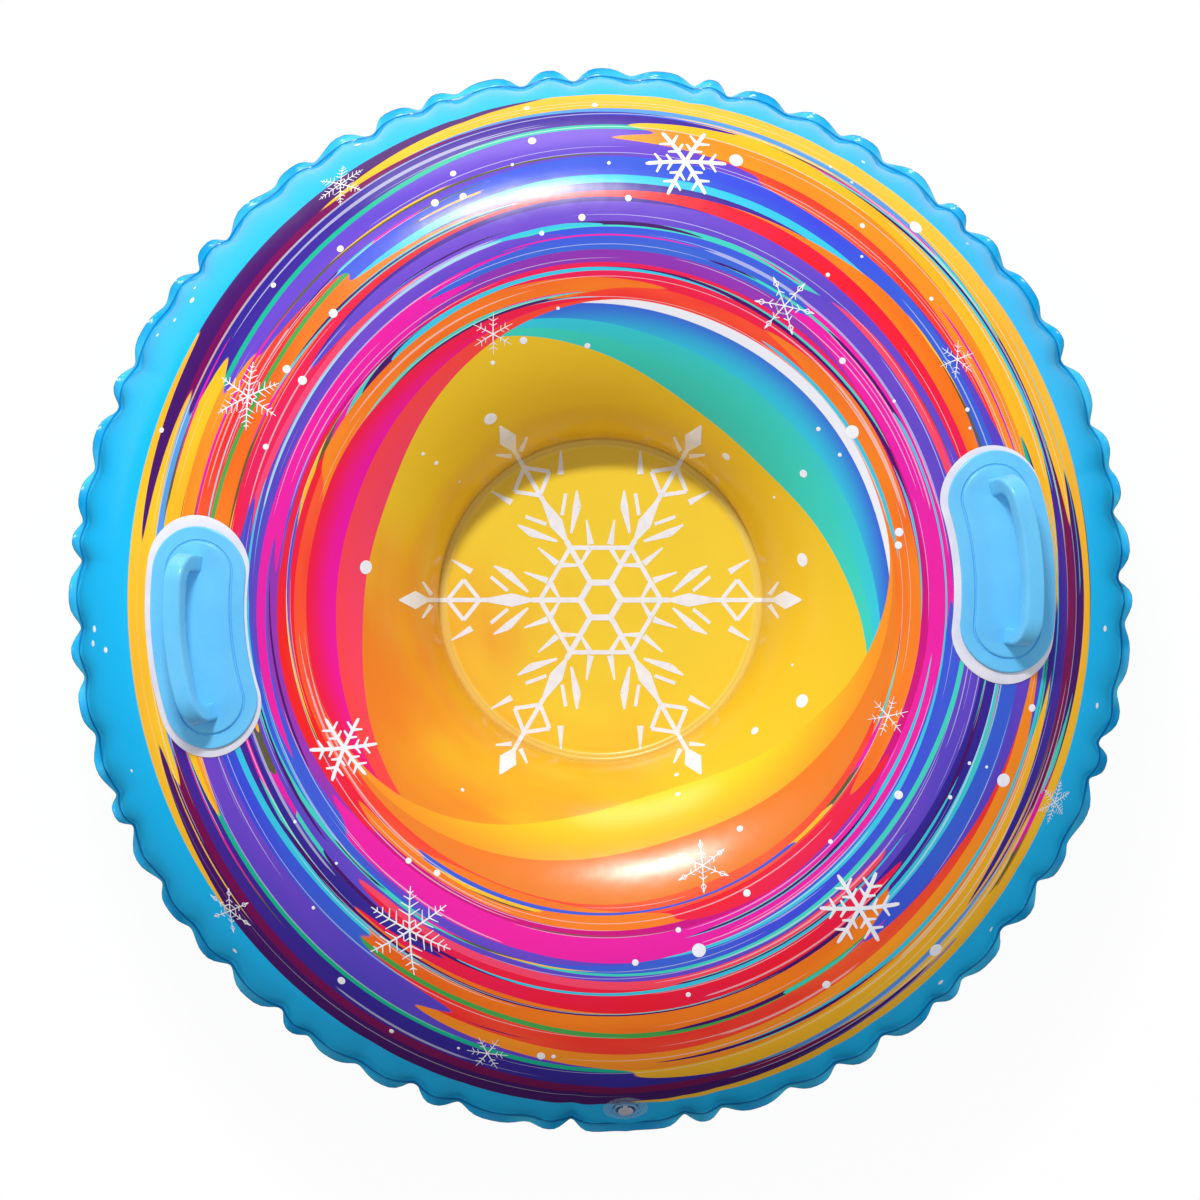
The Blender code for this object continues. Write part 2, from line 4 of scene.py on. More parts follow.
import bmesh
import bpy
import numpy as np
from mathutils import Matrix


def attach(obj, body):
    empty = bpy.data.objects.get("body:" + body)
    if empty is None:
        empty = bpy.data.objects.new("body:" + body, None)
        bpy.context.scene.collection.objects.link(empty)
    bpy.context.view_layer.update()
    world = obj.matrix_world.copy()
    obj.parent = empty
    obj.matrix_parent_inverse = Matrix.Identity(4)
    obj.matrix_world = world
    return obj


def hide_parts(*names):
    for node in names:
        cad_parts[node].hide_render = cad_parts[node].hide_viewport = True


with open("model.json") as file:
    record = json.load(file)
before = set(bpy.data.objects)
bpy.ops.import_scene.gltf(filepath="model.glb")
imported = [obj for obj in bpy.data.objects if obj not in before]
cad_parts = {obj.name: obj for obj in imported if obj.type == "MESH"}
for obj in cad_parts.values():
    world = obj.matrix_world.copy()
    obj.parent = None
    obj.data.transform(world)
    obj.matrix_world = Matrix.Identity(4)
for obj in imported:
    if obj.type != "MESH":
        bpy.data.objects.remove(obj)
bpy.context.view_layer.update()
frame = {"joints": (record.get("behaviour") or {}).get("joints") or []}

# Sizes of the inflated ring, in metres, as the part has them.
tube = {
    "rimRadius": 0.460,
    "flangeWidth": 0.005,
    "outerReach": 0.153,
    "innerReach": 0.162,
    "seamHeight": 0.130,
    "crownRise": 0.130,
    "restBand": 0.075,
    "topThickness": 0.0006,
    "bottomThickness": 0.0008,
    "sheetGap": 0.0003,
    "weldWidth": 0.008,
    "weldBead": 0.0007,  # how far the two pressed lines of the seat weld stand proud
    "seatLift": 0.0004,
    "liftSteepness": 1.5,
}
tube["crownRadius"] = tube["rimRadius"] - tube["flangeWidth"] - tube["outerReach"]
tube["seatRadius"] = tube["crownRadius"] - tube["innerReach"]

# Shallow ripples of the seat: height * sin(3 angle + start) * sin(rings * radius), and more of them outwards.
ripples = {
    "height": 0.0007,
    "rings": 62,
    "turns": (3, 7),
    "start": 1.0,
    "outerShare": 0.6,
    "fadeWidth": 0.03,
    "calmRadius": 0.05,
}

# The gathers that the air pulls into the rim. Lengths are measured along the sheet from the rim weld.
gathers = {
    "scallops": 60,
    "firstDegrees": -87.2,  # the valve's own valley, which its stiff flange holds open
    # What varies from scallop to scallop, as sums of size * sin(rate * index + start).
    "sway": ((0.6, 2.4, 0.0), (0.4, 5.1, 1.0)),
    "uneven": ((0.6, 1.7, 0.5), (0.4, 4.3, 0.0)),
    "longer": ((0.5, 3.3, 2.0), (0.5, 7.9, 0.0)),
    "tilt": ((1.0, 2.9, 0.7),),
    "swayShare": 0.22,
    "unevenShare": 0.42,
    "skew": 0.15,  # how far the crests lean to one side
    "roundness": 0.26,
    "weldInset": 0.0026,  # how far in the air's edge lies on the crests, and how much further in the valleys
    "weldDepth": 0.0042,
    "weldLength": 0.085,
    "puckerDepth": 0.0071,
    "puckerStart": 0.016,
    "puckerLength": 0.074,
    "puckerSpread": 0.030,
    "puckerFade": 1.6,
    "puckerOpening": 0.9,  # how much rounder a pucker gets towards its inner end
    "wrinkleDepth": 0.0013,
    "wrinkleLength": 0.034,
    "wrinkleCount": 2.5,  # to each scallop
    "wrinkleSwing": 9,
    "flangeTurn": 80,  # degrees that the flange turns down by in a valley
    "turnPower": 0.8,
    "turnLimits": (1e-4, 1.15),  # shares of that turn
    "flangeCurl": 0.0014,
    "flangeWave": 0.0012,
    "waveEven": 0.4,  # share of the flange's wave that is alike on every scallop
    "weldLines": ((0.0011, 0.00030), (0.0034, 0.00020), (0.0066, 0.00018)),  # place on the flange, height
    "weldLineWidth": 0.00035,
}

flangeWidth = tube["flangeWidth"] + gathers["weldInset"]

# Rows and columns of the sheets' meshes.
sheetGrid = {
    "airSteps": 3001,
    "seatSteps": 400,
    "fineColumns": 12,  # points to each scallop near the rim
    "plainColumns": 4,
    "fineEnd": 0.112,
    "fineRows": 24,
    "fineCrowding": 1.5,
    "plainRow": 0.0078,
    "flangeRows": 12,
    "seatRow": 0.009,
    "weldRows": 9,
    "valleyCrowding": 0.5,
    "sharpDegrees": 42,
}

# The printed rings aren't quite true to the ring, so the blue edge is wider on the left.
printLay = {"shift": 0.0105, "oval": 0.0165, "aside": 0.0105, "fadeStart": 0.10, "fadeLength": 0.26}


def smoothStep(value):
    value = np.clip(value, 0, 1)
    return value * value * (3 - 2 * value)


# From 1 at the start of a way to 0 where it is as long as the length.
def fadeOut(way, length):
    return np.clip(1 - way / length, 0, 1)


def fullTurn(count):
    return np.linspace(0, 2 * math.pi, count, endpoint=False)


# Quads of a grid of points that is stored row by row. A closed grid joins its last column to its first, and a
# looped one its last row to its first.
def gridFaces(rows, columns, closed=False, looped=False, start=0):
    across = np.arange(columns if closed else columns - 1)
    down = np.arange(rows if looped else rows - 1)[:, None]
    nextAcross = (across + 1) % columns
    nextDown = (down + 1) % rows
    corners = (
        down * columns + across,
        down * columns + nextAcross,
        nextDown * columns + nextAcross,
        nextDown * columns + across,
    )
    return start + np.stack(corners, -1).reshape(-1, 4)


def shadeSmooth(mesh, sharpDegrees):
    mesh.shade_smooth()
    mesh.set_sharp_from_angle(angle=math.radians(sharpDegrees))


# Turns arrays of points and faces into an object at the origin, shaded smooth with crisp edges.
def makePiece(name, points, faces, material, sharpDegrees=42):
    mesh = bpy.data.meshes.new(name)
    mesh.from_pydata(points.reshape(-1, 3).tolist(), [], [face for block in faces for face in block.tolist()])
    piece = bpy.data.objects.new(name, mesh)
    bpy.context.scene.collection.objects.link(piece)
    if material:
        mesh.materials.append(material)
    shadeSmooth(mesh, sharpDegrees)
    return piece


# A piece whose points that lie on each other, such as a pole's, are welded, with every face turned outwards.
def closedPiece(name, points, faces, material, distance=2e-6, sharpDegrees=42):
    piece = makePiece(name, points, faces, material)
    builder = bmesh.new()
    builder.from_mesh(piece.data)
    bmesh.ops.remove_doubles(builder, verts=builder.verts[:], dist=distance)
    bmesh.ops.dissolve_degenerate(builder, edges=builder.edges[:], dist=distance)
    bmesh.ops.recalc_face_normals(builder, faces=builder.faces[:])
    builder.to_mesh(piece.data)
    builder.free()
    shadeSmooth(piece.data, sharpDegrees)
    return piece


# Replaces a piece's mesh by what its modifiers make of it.
def applyModifiers(piece, sharpDegrees=42):
    bpy.context.view_layer.update()
    graph = bpy.context.evaluated_depsgraph_get()
    made = bpy.data.meshes.new_from_object(piece.evaluated_get(graph))
    piece.modifiers.clear()
    piece.data = made
    shadeSmooth(made, sharpDegrees)
    return piece


# Joins a helper to a piece, or cuts it out of it, and drops the helper.
def combine(piece, operation, helper, sharpDegrees=42):
    modifier = piece.modifiers.new(operation.lower(), "BOOLEAN")
    modifier.operation = operation
    modifier.object = helper
    applyModifiers(piece, sharpDegrees)
    bpy.data.objects.remove(helper, do_unlink=True)
    return piece


# Puts a piece on its body, in place of the solid that it stands for.
def fit(piece, body, node=None):
    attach(piece, body)
    if node:
        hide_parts(node)


# The section of one sheet, from the rim weld to the middle of the seat, as a table along its length. Over the
# air it is half an ellipse on each side of the crown: radius = crown + reach * cos(t), height = seam + rise *
# sin(t). The lower sheet is cut off flat where it rests, and the seat is level.
def sectionTable(side):
    turn = np.linspace(0, math.pi, sheetGrid["airSteps"])
    reach = np.where(turn <= math.pi / 2, tube["outerReach"], tube["innerReach"])
    rise = tube["crownRise"]
    if side < 0:
        rise = tube["seamHeight"] / np.sqrt(1 - (tube["restBand"] / 2 / reach) ** 2)
    radius = tube["crownRadius"] + reach * np.cos(turn)
    height = np.maximum(0, tube["seamHeight"] + side * rise * np.sin(turn))
    run = np.concatenate(([0], np.cumsum(np.hypot(np.diff(radius), np.diff(height)))))
    inwards, upwards = np.gradient(radius, run), np.gradient(height, run)
    thickness = tube["topThickness"] if side > 0 else tube["bottomThickness"]
    weldHeight = tube["seamHeight"] + side * (tube["sheetGap"] / 2 + thickness)
    height = np.maximum(height, weldHeight) if side > 0 else np.minimum(height, weldHeight)
    seat = np.linspace(0, tube["seatRadius"], sheetGrid["seatSteps"])[1:]
    return {
        "run": np.concatenate((run, run[-1] + seat)),
        "radius": np.concatenate((radius, tube["seatRadius"] - seat)),
        "height": np.concatenate((height, weldHeight + side * seatProfile(seat))),
        "normalOut": np.concatenate((side * upwards, seat * 0)),
        "normalUp": np.concatenate((-side * inwards, seat * 0 + side)),
        "weldRun": run[-1],
        "weldOffset": abs(weldHeight - tube["seamHeight"]),
    }


# Height of the seat over its weld: two pressed lines, bead * sin(2 pi share) ^ 2, then the sheet lifts off.
def seatProfile(inwards):
    share = inwards / tube["weldWidth"]
    bead = np.sin(np.clip(share, 0, 1) * math.pi * 2) ** 2 * tube["weldBead"]
    return bead + tube["seatLift"] * smoothStep((share - 1) * tube["liftSteepness"])


sections = {1: sectionTable(1), -1: sectionTable(-1)}


# Where the valleys stand: angle = first + pitch * (index + sway), how deep each is and how far it runs in.
def valleyTable():
    count = gathers["scallops"]
    index = np.arange(count + 1)
    even = index % count
    held = even == 0

    def varied(name):
        return sum(size * np.sin(rate * even + start) for size, rate, start in gathers[name])

    sway = np.where(held, 0, gathers["swayShare"] * varied("sway"))
    return {
        "angle": math.radians(gathers["firstDegrees"]) + 2 * math.pi / count * (index + sway),
        "strength": np.where(held, 0, 1 + gathers["unevenShare"] * varied("uneven")),
        "length": gathers["puckerLength"] + gathers["puckerSpread"] * varied("longer"),
        "tilt": np.where(held, 0, varied("tilt")),
    }


# The gathers' shape round the ring, in columns crowded towards the valleys:
# share = u - c * sin(2 pi u) / (2 pi), and arch = sin(pi * share) ^ 2 with the share leaned to one side.
def gatherColumns():
    valleys = valleyTable()
    along = np.arange(gathers["scallops"] * sheetGrid["fineColumns"]) / sheetGrid["fineColumns"]
    before = along.astype(int)
    part = along - before
    share = part - sheetGrid["valleyCrowding"] * np.sin(2 * math.pi * part) / (2 * math.pi)
    shape = {name: row[before] * (1 - share) + row[before + 1] * share for name, row in valleys.items()}
    lean = share + gathers["skew"] * shape["tilt"] * np.sin(math.pi * share) ** 2
    shape["arch"] = np.sin(math.pi * lean) ** 2
    return shape


columns = gatherColumns()


def roundRing(angle, name):
    return np.interp(angle, columns["angle"], columns[name], period=2 * math.pi)


# Depth of a valley fold from 1 at its line to 0 on the crest. The line is sharp at the weld and rounds off
# inwards: (sqrt(1 + c^2) - sqrt(arch + c^2)) / (sqrt(1 + c^2) - c).
def foldDepth(arch, roundness):
    crest = np.sqrt(1 + roundness**2)
    return (crest - np.sqrt(arch + roundness**2)) / (crest - roundness)


# The valve. Its mouldings are closed profiles of (radius, height over the bed). Its straps run up the slope.
valve = {
    "hingeAcross": 0.00975,  # from the valve's middle to the plug's hinge, up the slope
    "hingeAbove": 0.00345,
    "bedRadius": 0.022,  # where the sheet lies level, and how wide its way back to the ring's shape is
    "bedFade": 0.024,
    "bedDepth": 0.03,
    "holeRadius": 0.0110,
    "holeDepth": 0.010,
    # a short barrel under a thin disc, with a raised ring on it
    "flange": (
        (0.0100, -0.0018), (0.0107, -0.0018), (0.0107, 0.0003), (0.0195, 0.0003), (0.0195, 0.0010),
        (0.0189, 0.0012), (0.0154, 0.0012), (0.0150, 0.0022), (0.0136, 0.0022), (0.0132, 0.0014),
        (0.0104, 0.0014), (0.0100, 0.0013),
    ),
    # a thin wall with a bead at each end, the floor and the neck in its middle
    "cup": (
        (0.0040, -0.0150), (0.0108, -0.0150), (0.0108, -0.0141), (0.0097, -0.0141), (0.0097, 0.0018),
        (0.0108, 0.0018), (0.0108, 0.0027), (0.0087, 0.0027), (0.0087, -0.0140), (0.0058, -0.0140),
        (0.0054, 0.0027), (0.0040, 0.0027),
    ),
    # a tapered shank under a cap
    "plug": (
        (0, -0.0004), (0.0028, -0.0004), (0.0037, 0.0030), (0.0065, 0.0030), (0.0065, 0.0042),
        (0.0052, 0.0046), (0, 0.0044),
    ),
    "flap": ((0, -0.0159), (0.0050, -0.0159), (0.0050, -0.0153), (0, -0.0153)),
    # start and end up the slope, height of the middle line, half width and half thickness
    "tether": (0.0037, 0.0102, 0.00345, 0.0020, 0.00045),
    "tongue": (0.0034, 0.0066, -0.0156, 0.0020, 0.00030),
    "rounding": 0.0003,
    "flapRounding": 0.0001,
    "cornerShare": 0.45,  # of a side that a corner's rounding may take up
    "sides": 72,
    "strapStations": 14,
    "strapCorners": 24,
    "strapSquareness": 0.35,
    "strapClosing": (0.08, 10),  # how sharply a strap's ends draw in
}

# The valve's own axes and centre, worked out from the plug's hinge and the slide's axis in the frame.
joints = {joint["name"]: joint for joint in frame["joints"]}
valveOut = np.array(joints["valve_pull"]["axis"])
valveAcross = np.array(joints["plug_swing"]["axis"])
valveUp = np.cross(valveAcross, valveOut)
plugHinge = np.array(joints["plug_swing"]["pos_m"])
valveCentre = plugHinge - valveUp * valve["hingeAcross"] - valveOut * valve["hingeAbove"]


# The flange beyond the weld: level on the crests and turned down in the valleys, where its first part bends
# round an arc, by curl / turn * sin(turned) outwards. Gives how far out and down a place is, and its angle.
def flangeBend(beyond, hollow):
    share = np.clip(hollow, *gathers["turnLimits"]) ** gathers["turnPower"]
    turn = math.radians(gathers["flangeTurn"]) * share
    curl = gathers["flangeCurl"]
    bent = np.minimum(beyond, curl)
    turned = turn * bent / curl
    outwards = curl / turn * np.sin(turned) + (beyond - bent) * np.cos(turn)
    downwards = curl / turn * (1 - np.cos(turned)) + (beyond - bent) * np.sin(turn)
    return outwards, downwards, turned


# Points of a sheet at a length along its section and an angle round the ring, and how far above the sheet.
# point = ring section + scallop inwards + fold along the normal. Near the valve it is pressed onto its bed.
def sheetPoints(run, angle, side=1, above=0.0):
    run, angle, above = np.broadcast_arrays(np.asarray(run, float), angle, above)
    table = sections[side]
    onWall, beyond = np.maximum(run, 0), np.maximum(-run, 0)
    radius, height, normalOut, normalUp = (
        np.interp(onWall, table["run"], table[name]) for name in ("radius", "height", "normalOut", "normalUp")
    )
    arch, strength, length, tilt = (roundRing(angle, name) for name in ("arch", "strength", "length", "tilt"))

    # The scallop and its flange.
    hollow = strength * foldDepth(arch, gathers["roundness"])
    inset = gathers["weldInset"] + gathers["weldDepth"] * hollow
    radius = radius - inset * fadeOut(onWall, gathers["weldLength"]) ** 2
    outwards, downwards, turned = flangeBend(beyond, hollow)
    offset = side * table["weldOffset"]
    onFlange = beyond > 0
    radius = radius + outwards + offset * np.sin(turned) * onFlange
    height = np.where(onFlange, tube["seamHeight"] - downwards + offset * np.cos(turned), height)
    normalOut = np.where(onFlange, side * np.sin(turned), normalOut)
    normalUp = np.where(onFlange, side * np.cos(turned), normalUp)
    for place, proud in gathers["weldLines"]:
        above = above + proud * np.exp(-(((run + place) / gathers["weldLineWidth"]) ** 2))

    # Puckers along the normal, and finer wrinkles between them.
    begin = np.minimum(1, onWall / gathers["puckerStart"])
    sink = fadeOut(onWall, length) ** gathers["puckerFade"] * np.sin(begin * math.pi / 2)
    opening = gathers["puckerOpening"] * np.clip(onWall / length, 0, 1)
    fold = strength * foldDepth(arch, gathers["roundness"] + opening)
    wrinkle = np.sin(angle * gathers["scallops"] * gathers["wrinkleCount"] + gathers["wrinkleSwing"] * tilt)
    wrinkle = wrinkle * fadeOut(onWall, gathers["wrinkleLength"])
    depth = gathers["puckerDepth"] * fold * sink + gathers["wrinkleDepth"] * wrinkle * (1 - arch) * begin
    radius = radius + normalOut * (above - depth)
    height = height + normalUp * (above - depth)
    wave = np.clip(beyond / flangeWidth, 0, 1) ** 2
    even = gathers["waveEven"]
    height = height + gathers["flangeWave"] * wave * strength * (2 * arch - 1) * (even + (1 - even) * tilt)

    # Ripples of the seat.
    inSeat = smoothStep((run - table["weldRun"] - tube["weldWidth"]) / ripples["fadeWidth"])
    few, many = ripples["turns"]
    outer = ripples["outerShare"] * np.sin(many * angle) * (radius / tube["seatRadius"]) ** 2
    ripple = np.sin(few * angle + ripples["start"]) * np.sin(radius * ripples["rings"]) + outer
    height = height + ripples["height"] * inSeat * ripple * smoothStep(radius / ripples["calmRadius"])

    points = np.stack((radius * np.cos(angle), radius * np.sin(angle), height), -1)
    if side > 0:
        offset = points - valveCentre
        up, across, out = offset @ valveUp, offset @ valveAcross, offset @ valveOut
        free = smoothStep((np.hypot(up, across) - valve["bedRadius"]) / valve["bedFade"])
        free = np.where(out > -valve["bedDepth"], free, 1)
        points = points + ((above - out) * (1 - free))[..., None] * valveOut
    return points


# Length along the top sheet at which a plan radius lies, over the ring and the seat.
def runAtRadius(radius):
    table = sections[1]
    return np.interp(-radius, -table["radius"], table["run"])


# Where a place lies in the print: run - shift * fade, where shift = a + b * cos(2 angle) - c * cos(angle).
def printPlace(run, angle):
    shift = printLay["shift"] + printLay["oval"] * np.cos(2 * angle) - printLay["aside"] * np.cos(angle)
    return run - shift * (1 - smoothStep((run - printLay["fadeStart"]) / printLay["fadeLength"]))


# One sheet as a surface of rows along its section and columns round the ring. Rows near the rim have three
# times as many columns, and one row of fans joins the two.
def makeSheet(name, side, material):
    table = sections[side]
    end = table["run"][-1]
    flange = -flangeWidth * np.linspace(1, 0, sheetGrid["flangeRows"] + 1)[:-1]
    fine = sheetGrid["fineEnd"] * np.linspace(0, 1, sheetGrid["fineRows"]) ** sheetGrid["fineCrowding"]
    plainCount = math.ceil((table["weldRun"] - sheetGrid["fineEnd"]) / sheetGrid["plainRow"])
    plain = np.linspace(sheetGrid["fineEnd"], table["weldRun"], plainCount + 1)[1:]
    weld = table["weldRun"] + tube["weldWidth"] * np.linspace(0, 2, sheetGrid["weldRows"] * 2)[1:]
    seatCount = math.ceil((end - weld[-1]) / sheetGrid["seatRow"])
    seat = np.linspace(weld[-1], end, seatCount + 1)[1:-1]
    fineRuns = np.concatenate((flange, fine))
    plainRuns = np.concatenate((plain, weld, seat))

    step = sheetGrid["fineColumns"] // sheetGrid["plainColumns"]
    fineAngles, plainAngles = columns["angle"], columns["angle"][::step]
    fineCount, plainCount = len(fineAngles), len(plainAngles)
    finePoints = sheetPoints(fineRuns[:, None], fineAngles[None, :], side).reshape(-1, 3)
    plainPoints = sheetPoints(plainRuns[:, None], plainAngles[None, :], side).reshape(-1, 3)
    points = np.concatenate((finePoints, plainPoints, [[0, 0, table["height"][-1]]]))
    runs = np.concatenate((np.repeat(fineRuns, fineCount), np.repeat(plainRuns, plainCount), [end]))
    angles = np.concatenate((np.tile(fineAngles, len(fineRuns)), np.tile(plainAngles, len(plainRuns)), [0]))

    firstPlain = len(finePoints)
    coarse = np.arange(plainCount)
    following = (coarse + 1) % plainCount
    here, after = firstPlain + coarse, firstPlain + following
    rim = [firstPlain - fineCount + (coarse * step + k) % fineCount for k in range(step + 1)]
    half = step // 2
    fans = [np.stack((rim[k], rim[k + 1], here if k < half else after), -1) for k in range(step)]
    fans.append(np.stack((here, rim[half], after), -1))
    middle = len(points) - 1
    lastRow = middle - plainCount
    faces = [
        gridFaces(len(fineRuns), fineCount, closed=True),
        gridFaces(len(plainRuns), plainCount, closed=True, start=firstPlain),
        *fans,
        np.stack((lastRow + coarse, lastRow + following, np.full(plainCount, middle)), -1),
    ]
    if side < 0:
        faces = [block[:, ::-1] for block in faces]
    sheet = makePiece(name, points, faces, material, sheetGrid["sharpDegrees"])
    # Kept on the faces' corners, where the cut for the valve carries them over.
    corners = np.empty(len(sheet.data.loops), np.int32)
    sheet.data.loops.foreach_get("vertex_index", corners)
    for label, values in (("sheetRun", runs), ("printRun", printPlace(runs, angles))):
        attribute = sheet.data.attributes.new(label, "FLOAT", "CORNER")
        attribute.data.foreach_set("value", values.astype(np.float32)[corners])
    wall = sheet.modifiers.new("thickness", "SOLIDIFY")
    wall.thickness = tube["topThickness"] if side > 0 else tube["bottomThickness"]
    wall.offset = -1
    return sheet


# A profile's corners, each rounded off by a curve: first (1 - t)^2 + 2 corner t (1 - t) + last t^2.
def roundedProfile(corners, rounding, steps=4):
    corners = np.array(corners, float)

    def cornerEnd(neighbours):
        way = neighbours - corners
        length = np.linalg.norm(way, axis=1)
        reach = np.minimum(rounding, length * valve["cornerShare"])
        return corners + way / length[:, None] * reach[:, None]

    first, last = cornerEnd(np.roll(corners, 1, 0)), cornerEnd(np.roll(corners, -1, 0))
    onAxis = corners[:, 0] < 1e-9
    first[onAxis], last[onAxis] = corners[onAxis], corners[onAxis]
    t = np.linspace(0, 1, steps)[None, :, None]
    curve = first[:, None] * (1 - t) ** 2 + corners[:, None] * 2 * t * (1 - t) + last[:, None] * t**2
    return curve.reshape(-1, 2)


# A place in the valve's own axes: up the slope, across it and out of it.
def valvePlace(up, across, out):
    up, across, out = np.broadcast_arrays(up, across, out)
    return valveCentre + up[..., None] * valveUp + across[..., None] * valveAcross + out[..., None] * valveOut


# A closed profile turned round the valve's axis: radius * cos(t) up the slope, radius * sin(t) across.
def turnedPiece(name, profile, material, rounding):
    profile = roundedProfile(profile, rounding)
    turn = fullTurn(valve["sides"])
    radius, height = profile[:, :1], profile[:, 1:]
    points = valvePlace(radius * np.cos(turn), radius * np.sin(turn), height)
    return closedPiece(name, points, [gridFaces(*points.shape[:2], closed=True, looped=True)], material)


# A rounded square: sign(cos t) * |cos t| ^ power across, and the same with sin t in thickness.
def roundedSquare(sides, power):
    turn = fullTurn(sides)[None, :]
    return [np.sign(wave) * np.abs(wave) ** power for wave in (np.cos(turn), np.sin(turn))]


# A strap up the slope: a rounded square, drawn out wide, carried along a line and drawn in at its ends.
def strapPiece(name, strap, material):
    start, end, height, halfWidth, halfThickness = strap
    share = np.linspace(0, 1, valve["strapStations"])[:, None]
    ends, power = valve["strapClosing"]
    closing = np.sqrt(1 - np.clip(np.abs(share * 2 - 1) * (1 + ends) - ends, 0, 1) ** power)
    wide, thick = roundedSquare(valve["strapCorners"], valve["strapSquareness"])
    up = start + (end - start) * share
    points = valvePlace(up, wide * halfWidth * closing, height + thick * halfThickness * closing)
    return closedPiece(name, points, [gridFaces(*points.shape[:2], closed=True)], material, 1e-5)


# Handles and their patches, in curved places over the top sheet.
handle = {
    "degrees": {"right": 5.45, "left": 185.4},
    "radius": {"right": 0.3525, "left": 0.3484},
    "curveRadius": 0.283,
    "patchLength": 0.208,
    "patchWidth": 0.088,
    "patchLow": 0.0003,
    "patchHigh": 0.0009,
    "patchLip": 0.0004,
    "patchShift": {"right": (-0.0025, -0.0025), "left": (-0.0012, 0.0017)},  # along the ring, outwards
    "baseLength": 0.192,
    "baseWidth": 0.080,
    "baseLow": 0.0012,
    "baseHigh": 0.0036,
    "baseRound": 0.0014,
    "padWidth": 0.055,
    "padHigh": 0.0050,
    "padRound": 0.0012,
    "padInset": 0.0004,
    "flatInset": 0.0022,  # where the pad's and the rim's flat parts end before their edges
    "grooveWidth": 0.0010,
    "grooveDepth": 0.0012,
    # the groove's section, in shares of its width and depth
    "groove": ((0, 1), (0.5, 1.1), (1, 0.9), (1.3, 0.3), (1.8, -1 / 12), (3, 0)),
    "grooveEnd": 3.6,
    "gripSpan": 0.129,
    "gripOutset": 0.004,
    "gripReach": 0.0355,
    "gripBend": 0.0165,
    "gripWidth": 0.013,
    "gripThickness": 0.0145,
    "gripLean": 9,
    "gripFlare": 0.0007,
    "flareHeight": 0.005,
    "gripSquareness": 0.34,
    "gripSink": 0.0012,
    "gripCorners": 36,
    "legSteps": 9,
    "bendSteps": 12,
    "barSteps": 10,
    "roundColumns": 40,
    "sideColumns": 36,
    "patchSteps": (9, 4),  # of its flat sides and its lip
    "plateSteps": (8, 5, 5, 7, 10),  # of the pad, its edge, the rim, the outer edge and the underside
    "sharpDegrees": 38,
}


# A point over the sheet: turned about the handle's own curve centre by along / curve radius, then raised
# along the sheet's normal.
def handlePoints(side, along, outwards, above):
    angle = math.radians(handle["degrees"][side])
    centreOut = handle["radius"][side] - handle["curveRadius"]
    turn = along / handle["curveRadius"]
    reach = handle["curveRadius"] + outwards
    out, aside = centreOut + reach * np.cos(turn), reach * np.sin(turn)
    return sheetPoints(runAtRadius(np.hypot(out, aside)), angle + np.arctan2(aside, out), 1, above)


# A bean that narrows evenly to its middle line: place = middle line + distance * direction, at the heights of
# a profile of (distance, height). It is closed where the profile starts and ends on the middle line.
def beanPiece(name, side, middleLength, profile, material, shift=(0, 0)):
    ends, straight = handle["roundColumns"], handle["sideColumns"]
    half = middleLength / 2
    endTurn = np.linspace(-math.pi / 2, math.pi / 2, ends, endpoint=False)
    sideRun = np.linspace(half, -half, straight, endpoint=False)
    level = 0 * sideRun
    middle = np.concatenate((np.full(ends, half), sideRun, np.full(ends, -half), -sideRun))
    directionAlong = np.concatenate((np.cos(endTurn), level, -np.cos(endTurn), level))
    directionOut = np.concatenate((np.sin(endTurn), level + 1, -np.sin(endTurn), level - 1))
    distance, height = profile[:, :1], profile[:, 1:]
    along = shift[0] + middle + distance * directionAlong
    points = handlePoints(side, along, shift[1] + distance * directionOut, height)
    return closedPiece(name, points, [gridFaces(*points.shape[:2], closed=True)], material, 1e-5)


# Quarter of a circle between two profile points, from a level run over an edge and down.
def edgeRound(distance, height, radius, steps):
    turn = np.linspace(0, math.pi / 2, steps)
    return np.stack((distance - radius + radius * np.sin(turn), height - radius + radius * np.cos(turn)), -1)


# A level part of a profile, from one distance to another.
def levelRun(start, end, height, steps):
    return np.stack((np.linspace(start, end, steps), np.full(steps, height)), -1)


def makePatch(side, material):
    edge, lip = handle["patchWidth"] / 2, handle["patchLip"]
    low, high = handle["patchLow"], handle["patchHigh"]
    flat, curve = handle["patchSteps"]
    profile = np.concatenate((
        levelRun(0, edge - lip, high, flat)[:-1], edgeRound(edge, high, lip, curve), [[edge, low]],
        levelRun(edge - lip, 0, low, flat),
    ))
    middleLength = handle["patchLength"] - handle["patchWidth"]
    return beanPiece(f"{side}_patch", side, middleLength, profile, material, handle["patchShift"][side])


# The handle's plate: a flat pad inside a pressed groove, the rim round it, and a rounded outer edge.
def plateProfile():
    pad, edge, inset = handle["padWidth"] / 2, handle["baseWidth"] / 2, handle["flatInset"]
    low, high, padHigh = handle["baseLow"], handle["baseHigh"], handle["padHigh"]
    width, depth = handle["grooveWidth"], handle["grooveDepth"]
    padSteps, padCurve, rimSteps, rimCurve, underSteps = handle["plateSteps"]
    return np.concatenate((
        levelRun(0, pad - inset, padHigh, padSteps)[:-1],
        edgeRound(pad - handle["padInset"], padHigh, handle["padRound"], padCurve),
        [(pad + width * place, high - depth * share) for place, share in handle["groove"]],
        levelRun(pad + width * handle["grooveEnd"], edge - inset, high, rimSteps),
        edgeRound(edge, high, handle["baseRound"], rimCurve),
        levelRun(edge, 0, low, underSteps),
    ))


